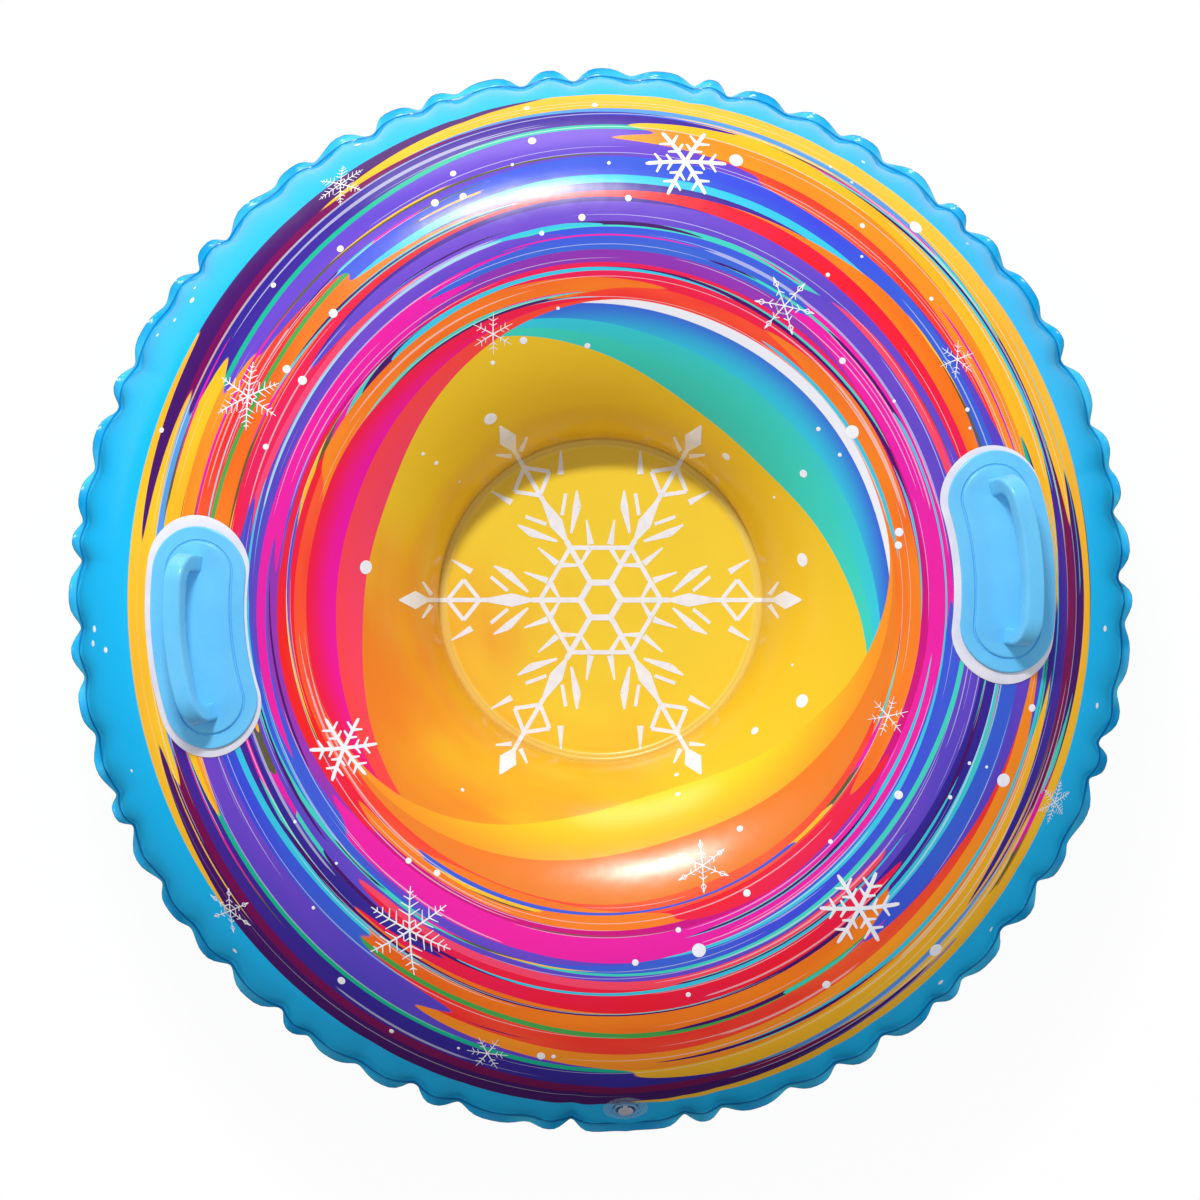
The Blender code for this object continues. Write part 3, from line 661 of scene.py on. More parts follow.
# The grip: a rounded square carried along an arch. The path runs up a leg, round a quarter circle, along the
# bar and down again, and leans outwards from the sheet's normal.
def gripPoints(side):
    half, bend, reach = handle["gripSpan"] / 2, handle["gripBend"], handle["gripReach"]
    root = handle["padHigh"] - handle["gripSink"]
    lean = math.radians(handle["gripLean"])
    legs, bar = handle["legSteps"], handle["barSteps"]
    turn = np.linspace(0, math.pi / 2, handle["bendSteps"])[1:]
    legReach = np.linspace(root / math.cos(lean), reach - bend, legs)
    barAlong = np.linspace(half - bend, 0, bar)[1:]
    pathAlong = np.concatenate((np.full(legs, half), half - bend + bend * np.cos(turn), barAlong))
    pathReach = np.concatenate((legReach, reach - bend + bend * np.sin(turn), np.full(bar - 1, reach)))
    pathAlong = np.concatenate((pathAlong, -pathAlong[-2::-1]))
    pathReach = np.concatenate((pathReach, pathReach[-2::-1]))
    run = np.stack((np.gradient(pathAlong), np.gradient(pathReach)), -1)
    run /= np.linalg.norm(run, axis=1)[:, None]
    flare = handle["gripFlare"] * fadeOut(pathReach - legReach[0], handle["flareHeight"])[:, None] ** 2
    wide, thick = roundedSquare(handle["gripCorners"], handle["gripSquareness"])
    wide = wide * (handle["gripWidth"] / 2 + flare)
    thick = thick * (handle["gripThickness"] / 2 + flare)
    along = pathAlong[:, None] - run[:, 1:] * thick
    up = pathReach[:, None] + run[:, :1] * thick
    outwards = handle["gripOutset"] + up * math.sin(lean) + wide * math.cos(lean)
    above = up * math.cos(lean) - wide * math.sin(lean)
    above[0], above[-1] = root, root
    return handlePoints(side, along, outwards, above)


def makeHandle(side, material):
    middleLength = handle["baseLength"] - handle["baseWidth"]
    plate = beanPiece(f"{side}_grab_handle", side, middleLength, plateProfile(), material)
    points = gripPoints(side)
    rows, corners = points.shape[:2]
    first = np.arange(corners)[None, :]
    faces = [gridFaces(rows, corners, closed=True), first, (rows - 1) * corners + first[:, ::-1]]
    grip = closedPiece(f"{side}_grip", points, faces, material)
    return combine(plate, "UNION", grip, handle["sharpDegrees"])


# White snow printed on the top sheet: stars with six arms, and flakes of snow as dots.
snow = {
    "inkLow": 0.00006,
    "inkHigh": 0.00020,
    "inkOrder": 0.03,  # how much higher each bar's ink is than the last, so that none lie in one plane
    "inkLayers": 7,
    "sharpDegrees": 60,
    "barSteps": 8,
    # plan radius and angle, width over the arms, turn, kind
    "stars": (
        (0.386, 79, 0.070, 12, "broad"), (0.424, 122, 0.046, 4, "fern"), (0.300, 58, 0.052, 20, "plate"),
        (0.248, 112, 0.038, 9, "needle"), (0.352, 150, 0.060, 25, "fern"), (0.256, 210, 0.060, 6, "broad"),
        (0.418, 220, 0.044, 17, "plate"), (0.330, 240, 0.078, 2, "fern"), (0.246, 291, 0.048, 14, "plate"),
        (0.404, 256, 0.036, 8, "needle"), (0.348, 310, 0.070, 22, "broad"), (0.430, 336, 0.040, 11, "fern"),
        (0.268, 338, 0.036, 3, "needle"), (0.372, 34, 0.034, 19, "needle"),
    ),
    "middleStar": 0.174,
    "middleSteps": 54,
    "dots": 96,
    "dotSeed": 47,
    "dotTries": 6,
    "dotField": (0.15, 0.450),
    "dotSize": 0.0013,
    "dotSpread": 0.0026,
    "largeShare": 0.09,
    "largeDot": 0.0060,
    "dotShape": ((0, 1), (0.7, 1), (0.94, 0.9), (1, 0.6)),  # share of its size, share of the ink's height
    "dotSides": 20,
    "clearOfValve": 0.035,
    "clearOfStars": 0.6,
    "clearOfHandles": (0.338, 0.070, 0.115),  # radius of their middle, reach across the ring, reach along it
}

# A star's arm along +x, from its middle at 0 to its tip at 1. A bar is x0, y0, x1, y1 and its half width at
# each end. Twigs are places on the arm, their lengths and a half width. Sides and twigs are mirrored.
starArms = {
    "twigLean": 60,
    "twigTaper": 0.55,
    "fern": {
        "stem": ((0, 0, 1, 0, 0.022, 0.012),),
        "twigs": ((0.16, 0.34, 0.52, 0.70, 0.84), (0.15, 0.28, 0.24, 0.17, 0.09), 0.017),
    },
    "plate": {
        "stem": ((0, 0, 1, 0, 0.020, 0.014), (0.90, 0, 1.02, 0, 0.045, 0.008)),
        "sides": (
            (0.30, 0, 0.15, 0.26, 0.020, 0.020), (0.52, 0, 0.40, 0.14, 0.016, 0.016),
            (0.66, 0, 0.78, 0.09, 0.015, 0.015), (0.78, 0.09, 0.90, 0, 0.015, 0.015),
        ),
    },
    "broad": {
        "stem": ((0, 0, 0.92, 0, 0.050, 0.050), (0.90, 0, 1.0, 0, 0.050, 0.030)),
        "twigs": ((0.34, 0.60), (0.25, 0.30), 0.045),
    },
    "needle": {"stem": ((0, 0, 1, 0, 0.030, 0.012),), "twigs": ((0.40, 0.62), (0.20, 0.24), 0.020)},
    "middle": {
        "stem": (
            (0.10, 0, 0.34, 0, 0.013, 0.013), (0.34, 0, 0.44, 0, 0.008, 0.034),
            (0.44, 0, 0.57, 0, 0.034, 0.009), (0.56, 0, 0.88, 0, 0.011, 0.011),
            (0.86, 0, 0.92, 0, 0.010, 0.046), (0.92, 0, 1.0, 0, 0.046, 0.004),
        ),
        # the hexagons, the leaves on them and the twigs further out
        "sides": (
            (0.10, 0, 0.05, 0.0866, 0.015, 0.015), (0.30, 0, 0.15, 0.26, 0.011, 0.011),
            (0.20, 0, 0.25, 0.0866, 0.006, 0.013), (0.36, 0.04, 0.46, 0.13, 0.006, 0.020),
            (0.46, 0.13, 0.53, 0.17, 0.020, 0.004), (0.215, 0.18, 0.31, 0.26, 0.016, 0.004),
            (0.46, 0.045, 0.545, 0.115, 0.009, 0.009), (0.60, 0, 0.68, 0.10, 0.010, 0.010),
            (0.68, 0.10, 0.76, 0, 0.010, 0.010), (0.64, 0.14, 0.74, 0.20, 0.016, 0.004),
            (0.84, 0.025, 0.885, 0.09, 0.012, 0.005),
        ),
    },
}


# All bars of one arm. A twig leans off the arm at its place: tip = place + length * (cos lean, sin lean).
def armBars(kind):
    arm = starArms[kind]
    if "twigs" in arm:
        places, length, thickness = arm["twigs"]
        places, length = np.array(places), np.array(length)
        lean = math.radians(starArms["twigLean"])
        ends = (places + length * math.cos(lean), length * math.sin(lean))
        widths = (thickness + 0 * places, thickness * starArms["twigTaper"] + 0 * places)
        sides = np.stack((places, 0 * places, *ends, *widths), -1)
    else:
        sides = np.array(arm["sides"])
    return np.concatenate((arm["stem"], sides, sides * (1, -1, 1, -1, 1, 1)))


# All six arms as flat bars: four corners at each step along a bar, in the star's own flat place.
# corner = start + (end - start) * t, moved half a width to either side.
def starGrid(kind, steps):
    bars = armBars(kind)
    turns = np.arange(6) * math.pi / 3
    spin = np.stack((np.cos(turns), -np.sin(turns), np.sin(turns), np.cos(turns)), -1).reshape(6, 1, 2, 2)
    start = (spin @ bars[None, :, 0:2, None])[..., 0].reshape(-1, 2)
    end = (spin @ bars[None, :, 2:4, None])[..., 0].reshape(-1, 2)
    halves = np.tile(bars[:, 4:6], (6, 1))
    t = np.linspace(0, 1, steps + 1)
    line = start[:, None] + (end - start)[:, None] * t[None, :, None]
    half = halves[:, :1] * (1 - t) + halves[:, 1:] * t
    along = (end - start) / np.linalg.norm(end - start, axis=1)[:, None]
    aside = np.stack((-along[:, 1], along[:, 0]), -1)[:, None]
    left, right = line + aside * half[..., None], line - aside * half[..., None]
    return np.stack((left, right, right, left), 2)  # top left, top right, low right, low left


# Heights of the bars' four corners over the sheet: ink * (1 + order * layer).
def inkLift(bars):
    high, low = snow["inkHigh"], snow["inkLow"]
    layer = (np.arange(bars) % snow["inkLayers"])[:, None, None]
    return np.array((high, high, low, low)) * (1 + snow["inkOrder"] * layer)


# Lays flat places p, q onto the sheet round a spot: p turns round the ring, and q runs outwards along it.
def onSheet(spotRun, spotAngle, p, q, above):
    spotRadius = np.interp(spotRun, sections[1]["run"], sections[1]["radius"])
    return sheetPoints(spotRun - q, spotAngle - p / spotRadius, 1, above)


def starPoints(radius, degrees, width, turn, kind):
    flat = starGrid(kind, snow["barSteps"]) * width / 2
    spin = math.radians(turn)
    p = flat[..., 0] * math.cos(spin) - flat[..., 1] * math.sin(spin)
    q = flat[..., 0] * math.sin(spin) + flat[..., 1] * math.cos(spin)
    return onSheet(runAtRadius(radius), math.radians(degrees), p, q, inkLift(len(flat)))


# The star in the middle of the seat, laid out in plan so that its arms stay even where they climb the slope.
def middleStarPoints():
    flat = starGrid("middle", snow["middleSteps"]) * snow["middleStar"]
    x, y = flat[..., 0], flat[..., 1]
    return sheetPoints(runAtRadius(np.hypot(x, y)), np.arctan2(y, x), 1, inkLift(len(flat)))


# Faces of bars that are stored as steps of four corners: four sides and two ends each.
def barFaces(bars, steps, start):
    last = 4 * steps
    ends = [[3, 2, 1, 0], [last, last + 1, last + 2, last + 3]]
    one = np.concatenate((gridFaces(steps + 1, 4, closed=True), ends))
    return (start + np.arange(bars)[:, None, None] * 4 * (steps + 1) + one).reshape(-1, 4)


# Where loose flakes lie: spread evenly over the sheet from a seeded draw, clear of handles, valve and stars.
def dotSpots():
    draw = np.random.default_rng(snow["dotSeed"])
    count = snow["dots"] * snow["dotTries"]
    inner, outer = snow["dotField"]
    radius = np.sqrt(draw.uniform(inner**2, outer**2, count))
    angle = draw.uniform(0, 2 * math.pi, count)
    size = snow["dotSize"] + snow["dotSpread"] * draw.random(count) ** 2
    size = np.where(draw.random(count) < snow["largeShare"], snow["largeDot"], size)
    x, y = radius * np.cos(angle), radius * np.sin(angle)
    clear = np.hypot(x - valveCentre[0], y - valveCentre[1]) > snow["clearOfValve"]
    middle, across, along = snow["clearOfHandles"]
    for degrees in handle["degrees"].values():
        turn = angle - math.radians(degrees)
        clear &= (np.abs(radius * np.cos(turn) - middle) > across) | (np.abs(radius * np.sin(turn)) > along)
    for starRadius, degrees, width, _, _ in snow["stars"]:
        turn = math.radians(degrees)
        away = np.hypot(x - starRadius * math.cos(turn), y - starRadius * math.sin(turn))
        clear &= away > width * snow["clearOfStars"]
    chosen = np.flatnonzero(clear)[: snow["dots"]]
    return radius[chosen], angle[chosen], size[chosen]


# Dots as very flat domes: a profile of shares of the size, turned in the sheet's own flat place.
def dotPoints():
    radius, angle, size = (values[:, None, None] for values in dotSpots())
    dome = [(share, snow["inkHigh"] * rise) for share, rise in snow["dotShape"]]
    dome += [(1, snow["inkLow"]), (0, snow["inkLow"])]
    share, lift = np.array(dome).T[:, None, :, None]
    turn = fullTurn(snow["dotSides"])
    p, q = share * size * np.cos(turn), share * size * np.sin(turn)
    return onSheet(runAtRadius(radius), angle, p, q, lift)


def makeSnow(material):
    blocks, faces, start = [], [], 0
    layouts = [(starPoints(*star), snow["barSteps"]) for star in snow["stars"]]
    layouts.append((middleStarPoints(), snow["middleSteps"]))
    for grid, steps in layouts:
        blocks.append(grid.reshape(-1, 3))
        faces.append(barFaces(len(grid), steps, start))
        start += len(blocks[-1])
    dots = dotPoints()
    rows, sides = dots.shape[1:3]
    one = gridFaces(rows, sides, closed=True)
    faces.append((start + np.arange(len(dots))[:, None, None] * rows * sides + one).reshape(-1, 4))
    blocks.append(dots.reshape(-1, 3))
    return closedPiece("snow_print", np.concatenate(blocks), faces, material, 1e-6, snow["sharpDegrees"])


# Colours are given as they look on a screen, from 0 to 255, and turned into light levels here.
def paint(red, green, blue):
    level = np.array([red, green, blue]) / 255
    level = np.where(level <= 0.04045, level / 12.92, ((level + 0.055) / 1.055) ** 2.4)
    return (*[float(x) for x in level], 1.0)


# Sets or links a node's inputs.
def setInputs(tree, node, inputs):
    for name, value in inputs.items():
        if isinstance(value, bpy.types.NodeSocket):
            tree.links.new(value, node.inputs[name])
        else:
            node.inputs[name].default_value = value


# Adds a node with its own options and its inputs.
def addNode(tree, kind, inputs=None, **options):
    node = tree.nodes.new(kind)
    for name, value in options.items():
        setattr(node, name, value)
    setInputs(tree, node, inputs or {})
    return node


def newFinish(name):
    material = bpy.data.materials.new(name)
    material.use_nodes = True
    tree = material.node_tree
    place = addNode(tree, "ShaderNodeTexCoord").outputs["Object"]
    return material, tree, tree.nodes["Principled BSDF"], place


def maths(tree, operation, first, second=0.0, clamp=False):
    node = addNode(tree, "ShaderNodeMath", {0: first, 1: second}, operation=operation, use_clamp=clamp)
    return node.outputs[0]


def times(tree, first, second):
    return maths(tree, "MULTIPLY", first, second)


def plus(tree, first, second, clamp=False):
    return maths(tree, "ADD", first, second, clamp)


def minus(tree, first, second):
    return maths(tree, "SUBTRACT", first, second)


# A noise turned into a swing to both sides of nothing: (noise - 0.5) * amount.
def swing(tree, noise, amount):
    return times(tree, minus(tree, noise, 0.5), amount)


def vectorMaths(tree, operation, inputs, output=0):
    return addNode(tree, "ShaderNodeVectorMath", inputs, operation=operation).outputs[output]


# A length along the sheet that its mesh carries.
def sheetLength(tree, name):
    return addNode(tree, "ShaderNodeAttribute", attribute_name=name).outputs["Fac"]


def noiseOf(tree, vector, scale=1.0, detail=2.0, roughness=0.5):
    inputs = {"Vector": vector, "Scale": scale, "Detail": detail, "Roughness": roughness}
    return addNode(tree, "ShaderNodeTexNoise", inputs).outputs["Fac"]


def mixColours(tree, factor, first, second, mode="MIX"):
    node = addNode(tree, "ShaderNodeMix", {0: factor, 6: first, 7: second}, data_type="RGBA", blend_type=mode)
    return node.outputs[2]


# A ramp of plain bands from (place, colour name) stops, whose places are divided by a length.
def bandRamp(tree, factor, stops, length=1.0):
    node = addNode(tree, "ShaderNodeValToRGB", {"Fac": factor})
    ramp = node.color_ramp
    ramp.interpolation = "CONSTANT"
    while len(ramp.elements) < len(stops):
        ramp.elements.new(0.5)
    for element, (place, colour) in zip(ramp.elements, stops):
        element.position = place / length
        element.color = colours[colour]
    return node.outputs["Color"]


# Maps a value from one range to 0..1, smoothly.
def between(tree, value, low, high):
    inputs = {"Value": value, "From Min": low, "From Max": high}
    return addNode(tree, "ShaderNodeMapRange", inputs, interpolation_type="SMOOTHSTEP").outputs["Result"]


# Spreads a noise evenly over a range.
def spread(tree, noise, low, high):
    inputs = {"Value": noise, "To Min": low, "To Max": high}
    return addNode(tree, "ShaderNodeMapRange", inputs).outputs["Result"]


def bumpOf(tree, height, strength, distance, below=None):
    inputs = {"Height": height, "Strength": strength, "Distance": distance}
    if below:
        inputs["Normal"] = below
    return addNode(tree, "ShaderNodeBump", inputs).outputs["Normal"]


# Vinyl film: slow waves in the sheet with a very fine grain over them, each a scale, detail and roughness.
film = {
    "waves": (16, 3, 0.55),
    "waveHeight": 0.0012,
    "grain": (850, 2, 0.6),
    "grainHeight": 0.00006,
    "strengths": (0.35, 0.12),
}


def filmBump(tree, place, strengths=film["strengths"]):
    lower = bumpOf(tree, noiseOf(tree, place, *film["waves"]), strengths[0], film["waveHeight"])
    return bumpOf(tree, noiseOf(tree, place, *film["grain"]), strengths[1], film["grainHeight"], lower)


colours = {
    "sky": (10, 184, 244), "azure": (10, 176, 240), "deepSky": (6, 168, 226), "flangeSky": (64, 198, 240),
    # The crease colour is painted shade, for the weld's crease.
    "creaseShade": (0, 92, 160), "cutEdge": (12, 122, 178), "sheet": (12, 174, 240), "deepSheet": (2, 158, 228),
    "golden": (250, 188, 40), "amber": (250, 146, 38), "orange": (246, 122, 30), "tangerine": (236, 128, 40),
    "lemon": (252, 214, 40), "straw": (240, 196, 44), "olive": (96, 92, 52), "leaf": (72, 168, 84),
    "vermilion": (248, 72, 48), "crimson": (240, 28, 66), "rose": (248, 70, 104), "magenta": (238, 24, 166),
    "deepMagenta": (206, 8, 130), "wine": (120, 14, 84), "plum": (72, 22, 104), "orchid": (150, 52, 178),
    "violet": (100, 70, 198), "indigo": (62, 40, 150), "royal": (60, 92, 214), "cornflower": (84, 150, 222),
    "cyan": (56, 198, 226), "turquoise": (64, 208, 190), "teal": (24, 180, 146), "snow": (238, 238, 247),
    "white": (255, 255, 255), "weld": (232, 222, 150),
}
colours = {name: paint(*levels) for name, levels in colours.items()}

# The print's bands: length along the sheet from the rim, and colour. Two sets take turns round the ring.
printBands = {
    "warm": (
        (0.000, "sky"), (0.074, "golden"), (0.100, "cornflower"), (0.106, "golden"), (0.126, "amber"),
        (0.144, "vermilion"), (0.160, "leaf"), (0.166, "orange"), (0.184, "crimson"), (0.206, "rose"),
        (0.212, "violet"), (0.228, "magenta"), (0.252, "deepMagenta"), (0.260, "orange"), (0.284, "lemon"),
    ),
    "cool": (
        (0.000, "sky"), (0.070, "magenta"), (0.073, "plum"), (0.096, "wine"), (0.104, "indigo"),
        (0.122, "teal"), (0.127, "violet"), (0.156, "royal"), (0.172, "cyan"), (0.179, "indigo"),
        (0.196, "violet"), (0.214, "turquoise"), (0.219, "royal"), (0.240, "orchid"), (0.252, "crimson"),
        (0.270, "vermilion"),
    ),
    "lines": (
        (0.00, "cyan"), (0.36, "plum"), (0.43, "turquoise"), (0.48, "magenta"), (0.53, "olive"),
        (0.58, "golden"), (0.64, "royal"),
    ),
    "length": 0.60,
    "scale": 0.92,
    "rimEnd": (0.0705, 0.0695),  # where the blue rim gives way to the bands
    "groundStart": 0.262,  # where the warm ground begins
    "groundBlend": 0.0008,
    # middle in degrees, how far it reaches in, and the colours of its outer and inner edge
    "crescents": (
        (48, 0.094, "turquoise", "turquoise"), (48, 0.066, "cyan", "turquoise"), (48, 0.040, "royal", "cyan"),
        (48, 0.010, "snow", "snow"), (168, 0.066, "vermilion", "rose"), (168, 0.034, "crimson", "magenta"),
        (288, 0.100, "amber", "lemon"), (288, 0.046, "tangerine", "orange"),
    ),
    "crescentBlend": 0.0003,
}

# How the bands vary. A noise is how fast it changes round the ring and along the sheet, detail, roughness.
printFlow = {
    "wander": (0.9, 6, 1, 0.4),
    "wanderReach": 0.026,
    "wanderStart": (0.070, 0.110),
    "fronts": 3.0,
    "slant": 16.0,
    "tongues": (0.55, 58, 0, 0.5),
    "tongueReach": 5.0,
    "frontBlend": 0.02,
    "tone": (1.6, 26, 2, 0.5),
    "hueSwing": 0.05,
    "toneSwing": 0.30,
    "lines": (0.8, 210, 0, 0.4),
    "lineColours": (0.6, 60, 0, 0.5),
    "lineEdge": (0.685, 0.695),
    "fineLines": (0.9, 520, 0, 0.4),
    "fineLineEdge": (0.70, 0.71),
    "fineLineShare": 0.40,
    "linesFrom": (0.078, 0.084),
    "linesTo": (0.285, 0.260),
    "sweep": (1.2, 30, 2, 0.5),
    "sweepShare": 0.4,
    "cloud": (4.5, 3, 0.5),
    "cloudShare": 1.5,
    "warmTowards": (-2.6, -1.7),
    "warmRange": (0.85, 1.75),
}

# The blue near the rim weld, in lengths along the sheet from it: less than 0 is on the flange.
rimLook = {
    "azureFrom": (0.035, 0.0),
    "patches": 9,
    "patchRange": (0.35, 0.65),
    "weldBlend": (0.0004, -0.0004),
    # The painted shade of the weld's crease: where it starts and ends on each side, and how dark it is.
    "creaseShadeOuter": (-0.0016, -0.0004),
    "creaseShadeInner": (0.0014, 0.0),
    "creaseShadeShare": 0.75,
    "cutEdge": (0.0008 - flangeWidth, 0.0003 - flangeWidth),
}

seatLook = {
    "throughLight": 0.42,  # how much brighter the seat is than the same ink on the ring
    "weldPale": 0.34,
    "weldOuter": (0.0015, -0.0005),  # where the paler weld starts and ends, beyond its own edges
    "weldInner": (0.0, 0.0012),
}

# The two sheets' sheen.
sheen = {
    "printed_vinyl": {"cloud": (24, 4, 0.6), "rough": (0.19, 0.29), "specular": 0.50},
    "blue_vinyl": {"cloud": (30, 4, 0.6), "rough": (0.26, 0.42), "specular": 0.28},
    "ior": 1.42,
    "rolling": (90, 4, 4),  # stretch of the blue sheet's rolling marks
    "rollingNoise": (1, 3, 0.6),
    "rollingRange": (0.25, 0.8),
    "rimFrom": (0.012, 0.004),
}


# Where a point is for a noise round the ring: direction * around, and run * inwards upwards.
def ringPlace(tree, direction, run, around, inwards):
    turned = vectorMaths(tree, "SCALE", {0: direction, "Scale": around})
    across = addNode(tree, "ShaderNodeCombineXYZ", {"Z": times(tree, run, inwards)}).outputs[0]
    return vectorMaths(tree, "ADD", {0: turned, 1: across})


# The blue near the rim weld: deeper towards it, patchy on the flange, with painted shade along the crease at
# the weld, and a dark cut edge.
def rimTint(tree, run, direction):
    tint = mixColours(tree, between(tree, run, *rimLook["azureFrom"]), colours["sky"], colours["azure"])
    patchy = noiseOf(tree, vectorMaths(tree, "SCALE", {0: direction, "Scale": rimLook["patches"]}))
    patches = between(tree, patchy, *rimLook["patchRange"])
    onFlange = mixColours(tree, patches, colours["deepSky"], colours["flangeSky"])
    tint = mixColours(tree, between(tree, run, *rimLook["weldBlend"]), tint, onFlange)
    # Painted shade: a darker line along the crease where the sheet leaves the weld.
    outer, inner = between(tree, run, *rimLook["creaseShadeOuter"]), between(tree, run, *rimLook["creaseShadeInner"])
    creaseShade = times(tree, times(tree, outer, inner), rimLook["creaseShadeShare"])
    tint = mixColours(tree, creaseShade, tint, colours["creaseShade"])
    return mixColours(tree, between(tree, run, *rimLook["cutEdge"]), tint, colours["cutEdge"])


def finishSheet(name, tree, shader, place, colour):
    look = sheen[name]
    setInputs(tree, shader, {
        "Base Color": colour,
        "Roughness": spread(tree, noiseOf(tree, place, *look["cloud"]), *look["rough"]),
        "Normal": filmBump(tree, place),
        "IOR": sheen["ior"],
        "Specular IOR Level": look["specular"],
    })


# The printed sheet. Bands lie along the ring and wander a little, and three slanting fronts swap the two sets
# of bands. Thin lines of other colours run through them. The middle is a warm ground.
def printedVinyl():
    material, tree, shader, place = newFinish("printed_vinyl")
    flow, bands = printFlow, printBands
    split = addNode(tree, "ShaderNodeSeparateXYZ", {0: place}).outputs
    level = addNode(tree, "ShaderNodeCombineXYZ", {"X": split["X"], "Y": split["Y"]}).outputs[0]
    direction = vectorMaths(tree, "NORMALIZE", {0: level})
    laid = sheetLength(tree, "printRun")

    def ringNoise(name):
        around, inwards, detail, roughness = flow[name]
        return noiseOf(tree, ringPlace(tree, direction, laid, around, inwards), 1, detail, roughness)

    wander = swing(tree, ringNoise("wander"), flow["wanderReach"])
    moved = plus(tree, laid, times(tree, wander, between(tree, laid, *flow["wanderStart"])))
    share = maths(tree, "DIVIDE", moved, bands["length"] * bands["scale"])

    # Three fronts round the ring, slanting inwards, with long smooth tongues: sin(3 angle + slant) + noise.
    unit = addNode(tree, "ShaderNodeSeparateXYZ", {0: direction}).outputs
    angle = maths(tree, "ARCTAN2", unit["Y"], unit["X"])
    slant = plus(tree, times(tree, angle, flow["fronts"]), times(tree, laid, flow["slant"]))
    tongues = swing(tree, ringNoise("tongues"), flow["tongueReach"])
    front = plus(tree, maths(tree, "SINE", slant), tongues)
    swapped = between(tree, front, -flow["frontBlend"], flow["frontBlend"])
    warm, cool = (bandRamp(tree, share, bands[name], bands["length"]) for name in ("warm", "cool"))
    colour = mixColours(tree, swapped, warm, cool)

    # Soft change of tone along each band.
    tone = ringNoise("tone")
    colour = addNode(tree, "ShaderNodeHueSaturation", {
        "Hue": plus(tree, 0.5, swing(tree, tone, flow["hueSwing"])),
        "Value": plus(tree, 1.0, swing(tree, tone, flow["toneSwing"])),
        "Color": colour,
    }).outputs[0]

    # Thin lines, each coming and going as it runs round, and finer pale ones.
    inBands = times(tree, between(tree, laid, *flow["linesFrom"]), between(tree, laid, *flow["linesTo"]))
    lineColour = bandRamp(tree, ringNoise("lineColours"), bands["lines"])
    onLine = times(tree, between(tree, ringNoise("lines"), *flow["lineEdge"]), inBands)
    colour = mixColours(tree, onLine, colour, lineColour)
    pale = mixColours(tree, flow["fineLineShare"], colour, colours["snow"])
    onFine = times(tree, between(tree, ringNoise("fineLines"), *flow["fineLineEdge"]), inBands)
    colour = mixColours(tree, onFine, colour, pale)

    # The warm ground of the inner slope and seat: straw to tangerine, with crescents along its edge. Each
    # reaches in by depth * cos(angle - middle) ^ 2 on its own side of the ring.
    rightwards, backwards = flow["warmTowards"]
    towards = plus(tree, times(tree, split["X"], rightwards), times(tree, split["Y"], backwards))
    cloud = times(tree, noiseOf(tree, place, *flow["cloud"]), flow["cloudShare"])
    drift = plus(tree, cloud, times(tree, ringNoise("sweep"), flow["sweepShare"]))
    warmth = between(tree, plus(tree, towards, drift), *flow["warmRange"])
    ground = mixColours(tree, warmth, colours["straw"], colours["tangerine"])
    start = bands["groundStart"]
    for middle, depth, outer, inner in bands["crescents"]:
        turn = math.radians(middle)
        facing = plus(tree, times(tree, unit["X"], math.cos(turn)), times(tree, unit["Y"], math.sin(turn)))
        bulge = maths(tree, "POWER", maths(tree, "MAXIMUM", facing, 0.0), 2.0)
        edge = plus(tree, start, times(tree, bulge, depth))
        depthShare = maths(tree, "DIVIDE", minus(tree, moved, start), depth)
        tint = mixColours(tree, between(tree, depthShare, 0.0, 1.0), colours[outer], colours[inner])
        blend = bands["crescentBlend"]
        ground = mixColours(tree, between(tree, minus(tree, edge, moved), -blend, blend), ground, tint)
    colour = mixColours(tree, between(tree, moved, start, start + bands["groundBlend"]), colour, ground)

    # The seat is thin enough to let light through, so it looks brighter, and its pressed weld shows paler.
    radius = vectorMaths(tree, "LENGTH", {0: level}, "Value")
    outside, inside = tube["seatRadius"], tube["seatRadius"] - tube["weldWidth"]
    lit = mixColours(tree, 1.0, colour, colours["white"], "SOFT_LIGHT")
    onSeat = times(tree, between(tree, radius, outside, inside), seatLook["throughLight"])
    colour = mixColours(tree, onSeat, colour, lit)
    weldOuter = between(tree, radius, *[outside + reach for reach in seatLook["weldOuter"]])
    weldInner = between(tree, radius, *[inside + reach for reach in seatLook["weldInner"]])
    pressed = times(tree, times(tree, weldOuter, weldInner), seatLook["weldPale"])
    colour = mixColours(tree, pressed, colour, colours["weld"])

    rim = rimTint(tree, sheetLength(tree, "sheetRun"), direction)
    colour = mixColours(tree, between(tree, laid, *bands["rimEnd"]), colour, rim)
    finishSheet("printed_vinyl", tree, shader, place, colour)
    return material


# The plain blue sheet below: even colour with faint rolling marks, and the same rim.
def blueVinyl():
    material, tree, shader, place = newFinish("blue_vinyl")
    run = sheetLength(tree, "sheetRun")
    stretched = addNode(tree, "ShaderNodeMapping", {"Vector": place, "Scale": sheen["rolling"]}).outputs[0]
    rolled = between(tree, noiseOf(tree, stretched, *sheen["rollingNoise"]), *sheen["rollingRange"])
    colour = mixColours(tree, rolled, colours["sheet"], colours["deepSheet"])
    rim = rimTint(tree, run, vectorMaths(tree, "NORMALIZE", {0: place}))
    colour = mixColours(tree, between(tree, run, *sheen["rimFrom"]), colour, rim)
    finishSheet("blue_vinyl", tree, shader, place, colour)
    return material


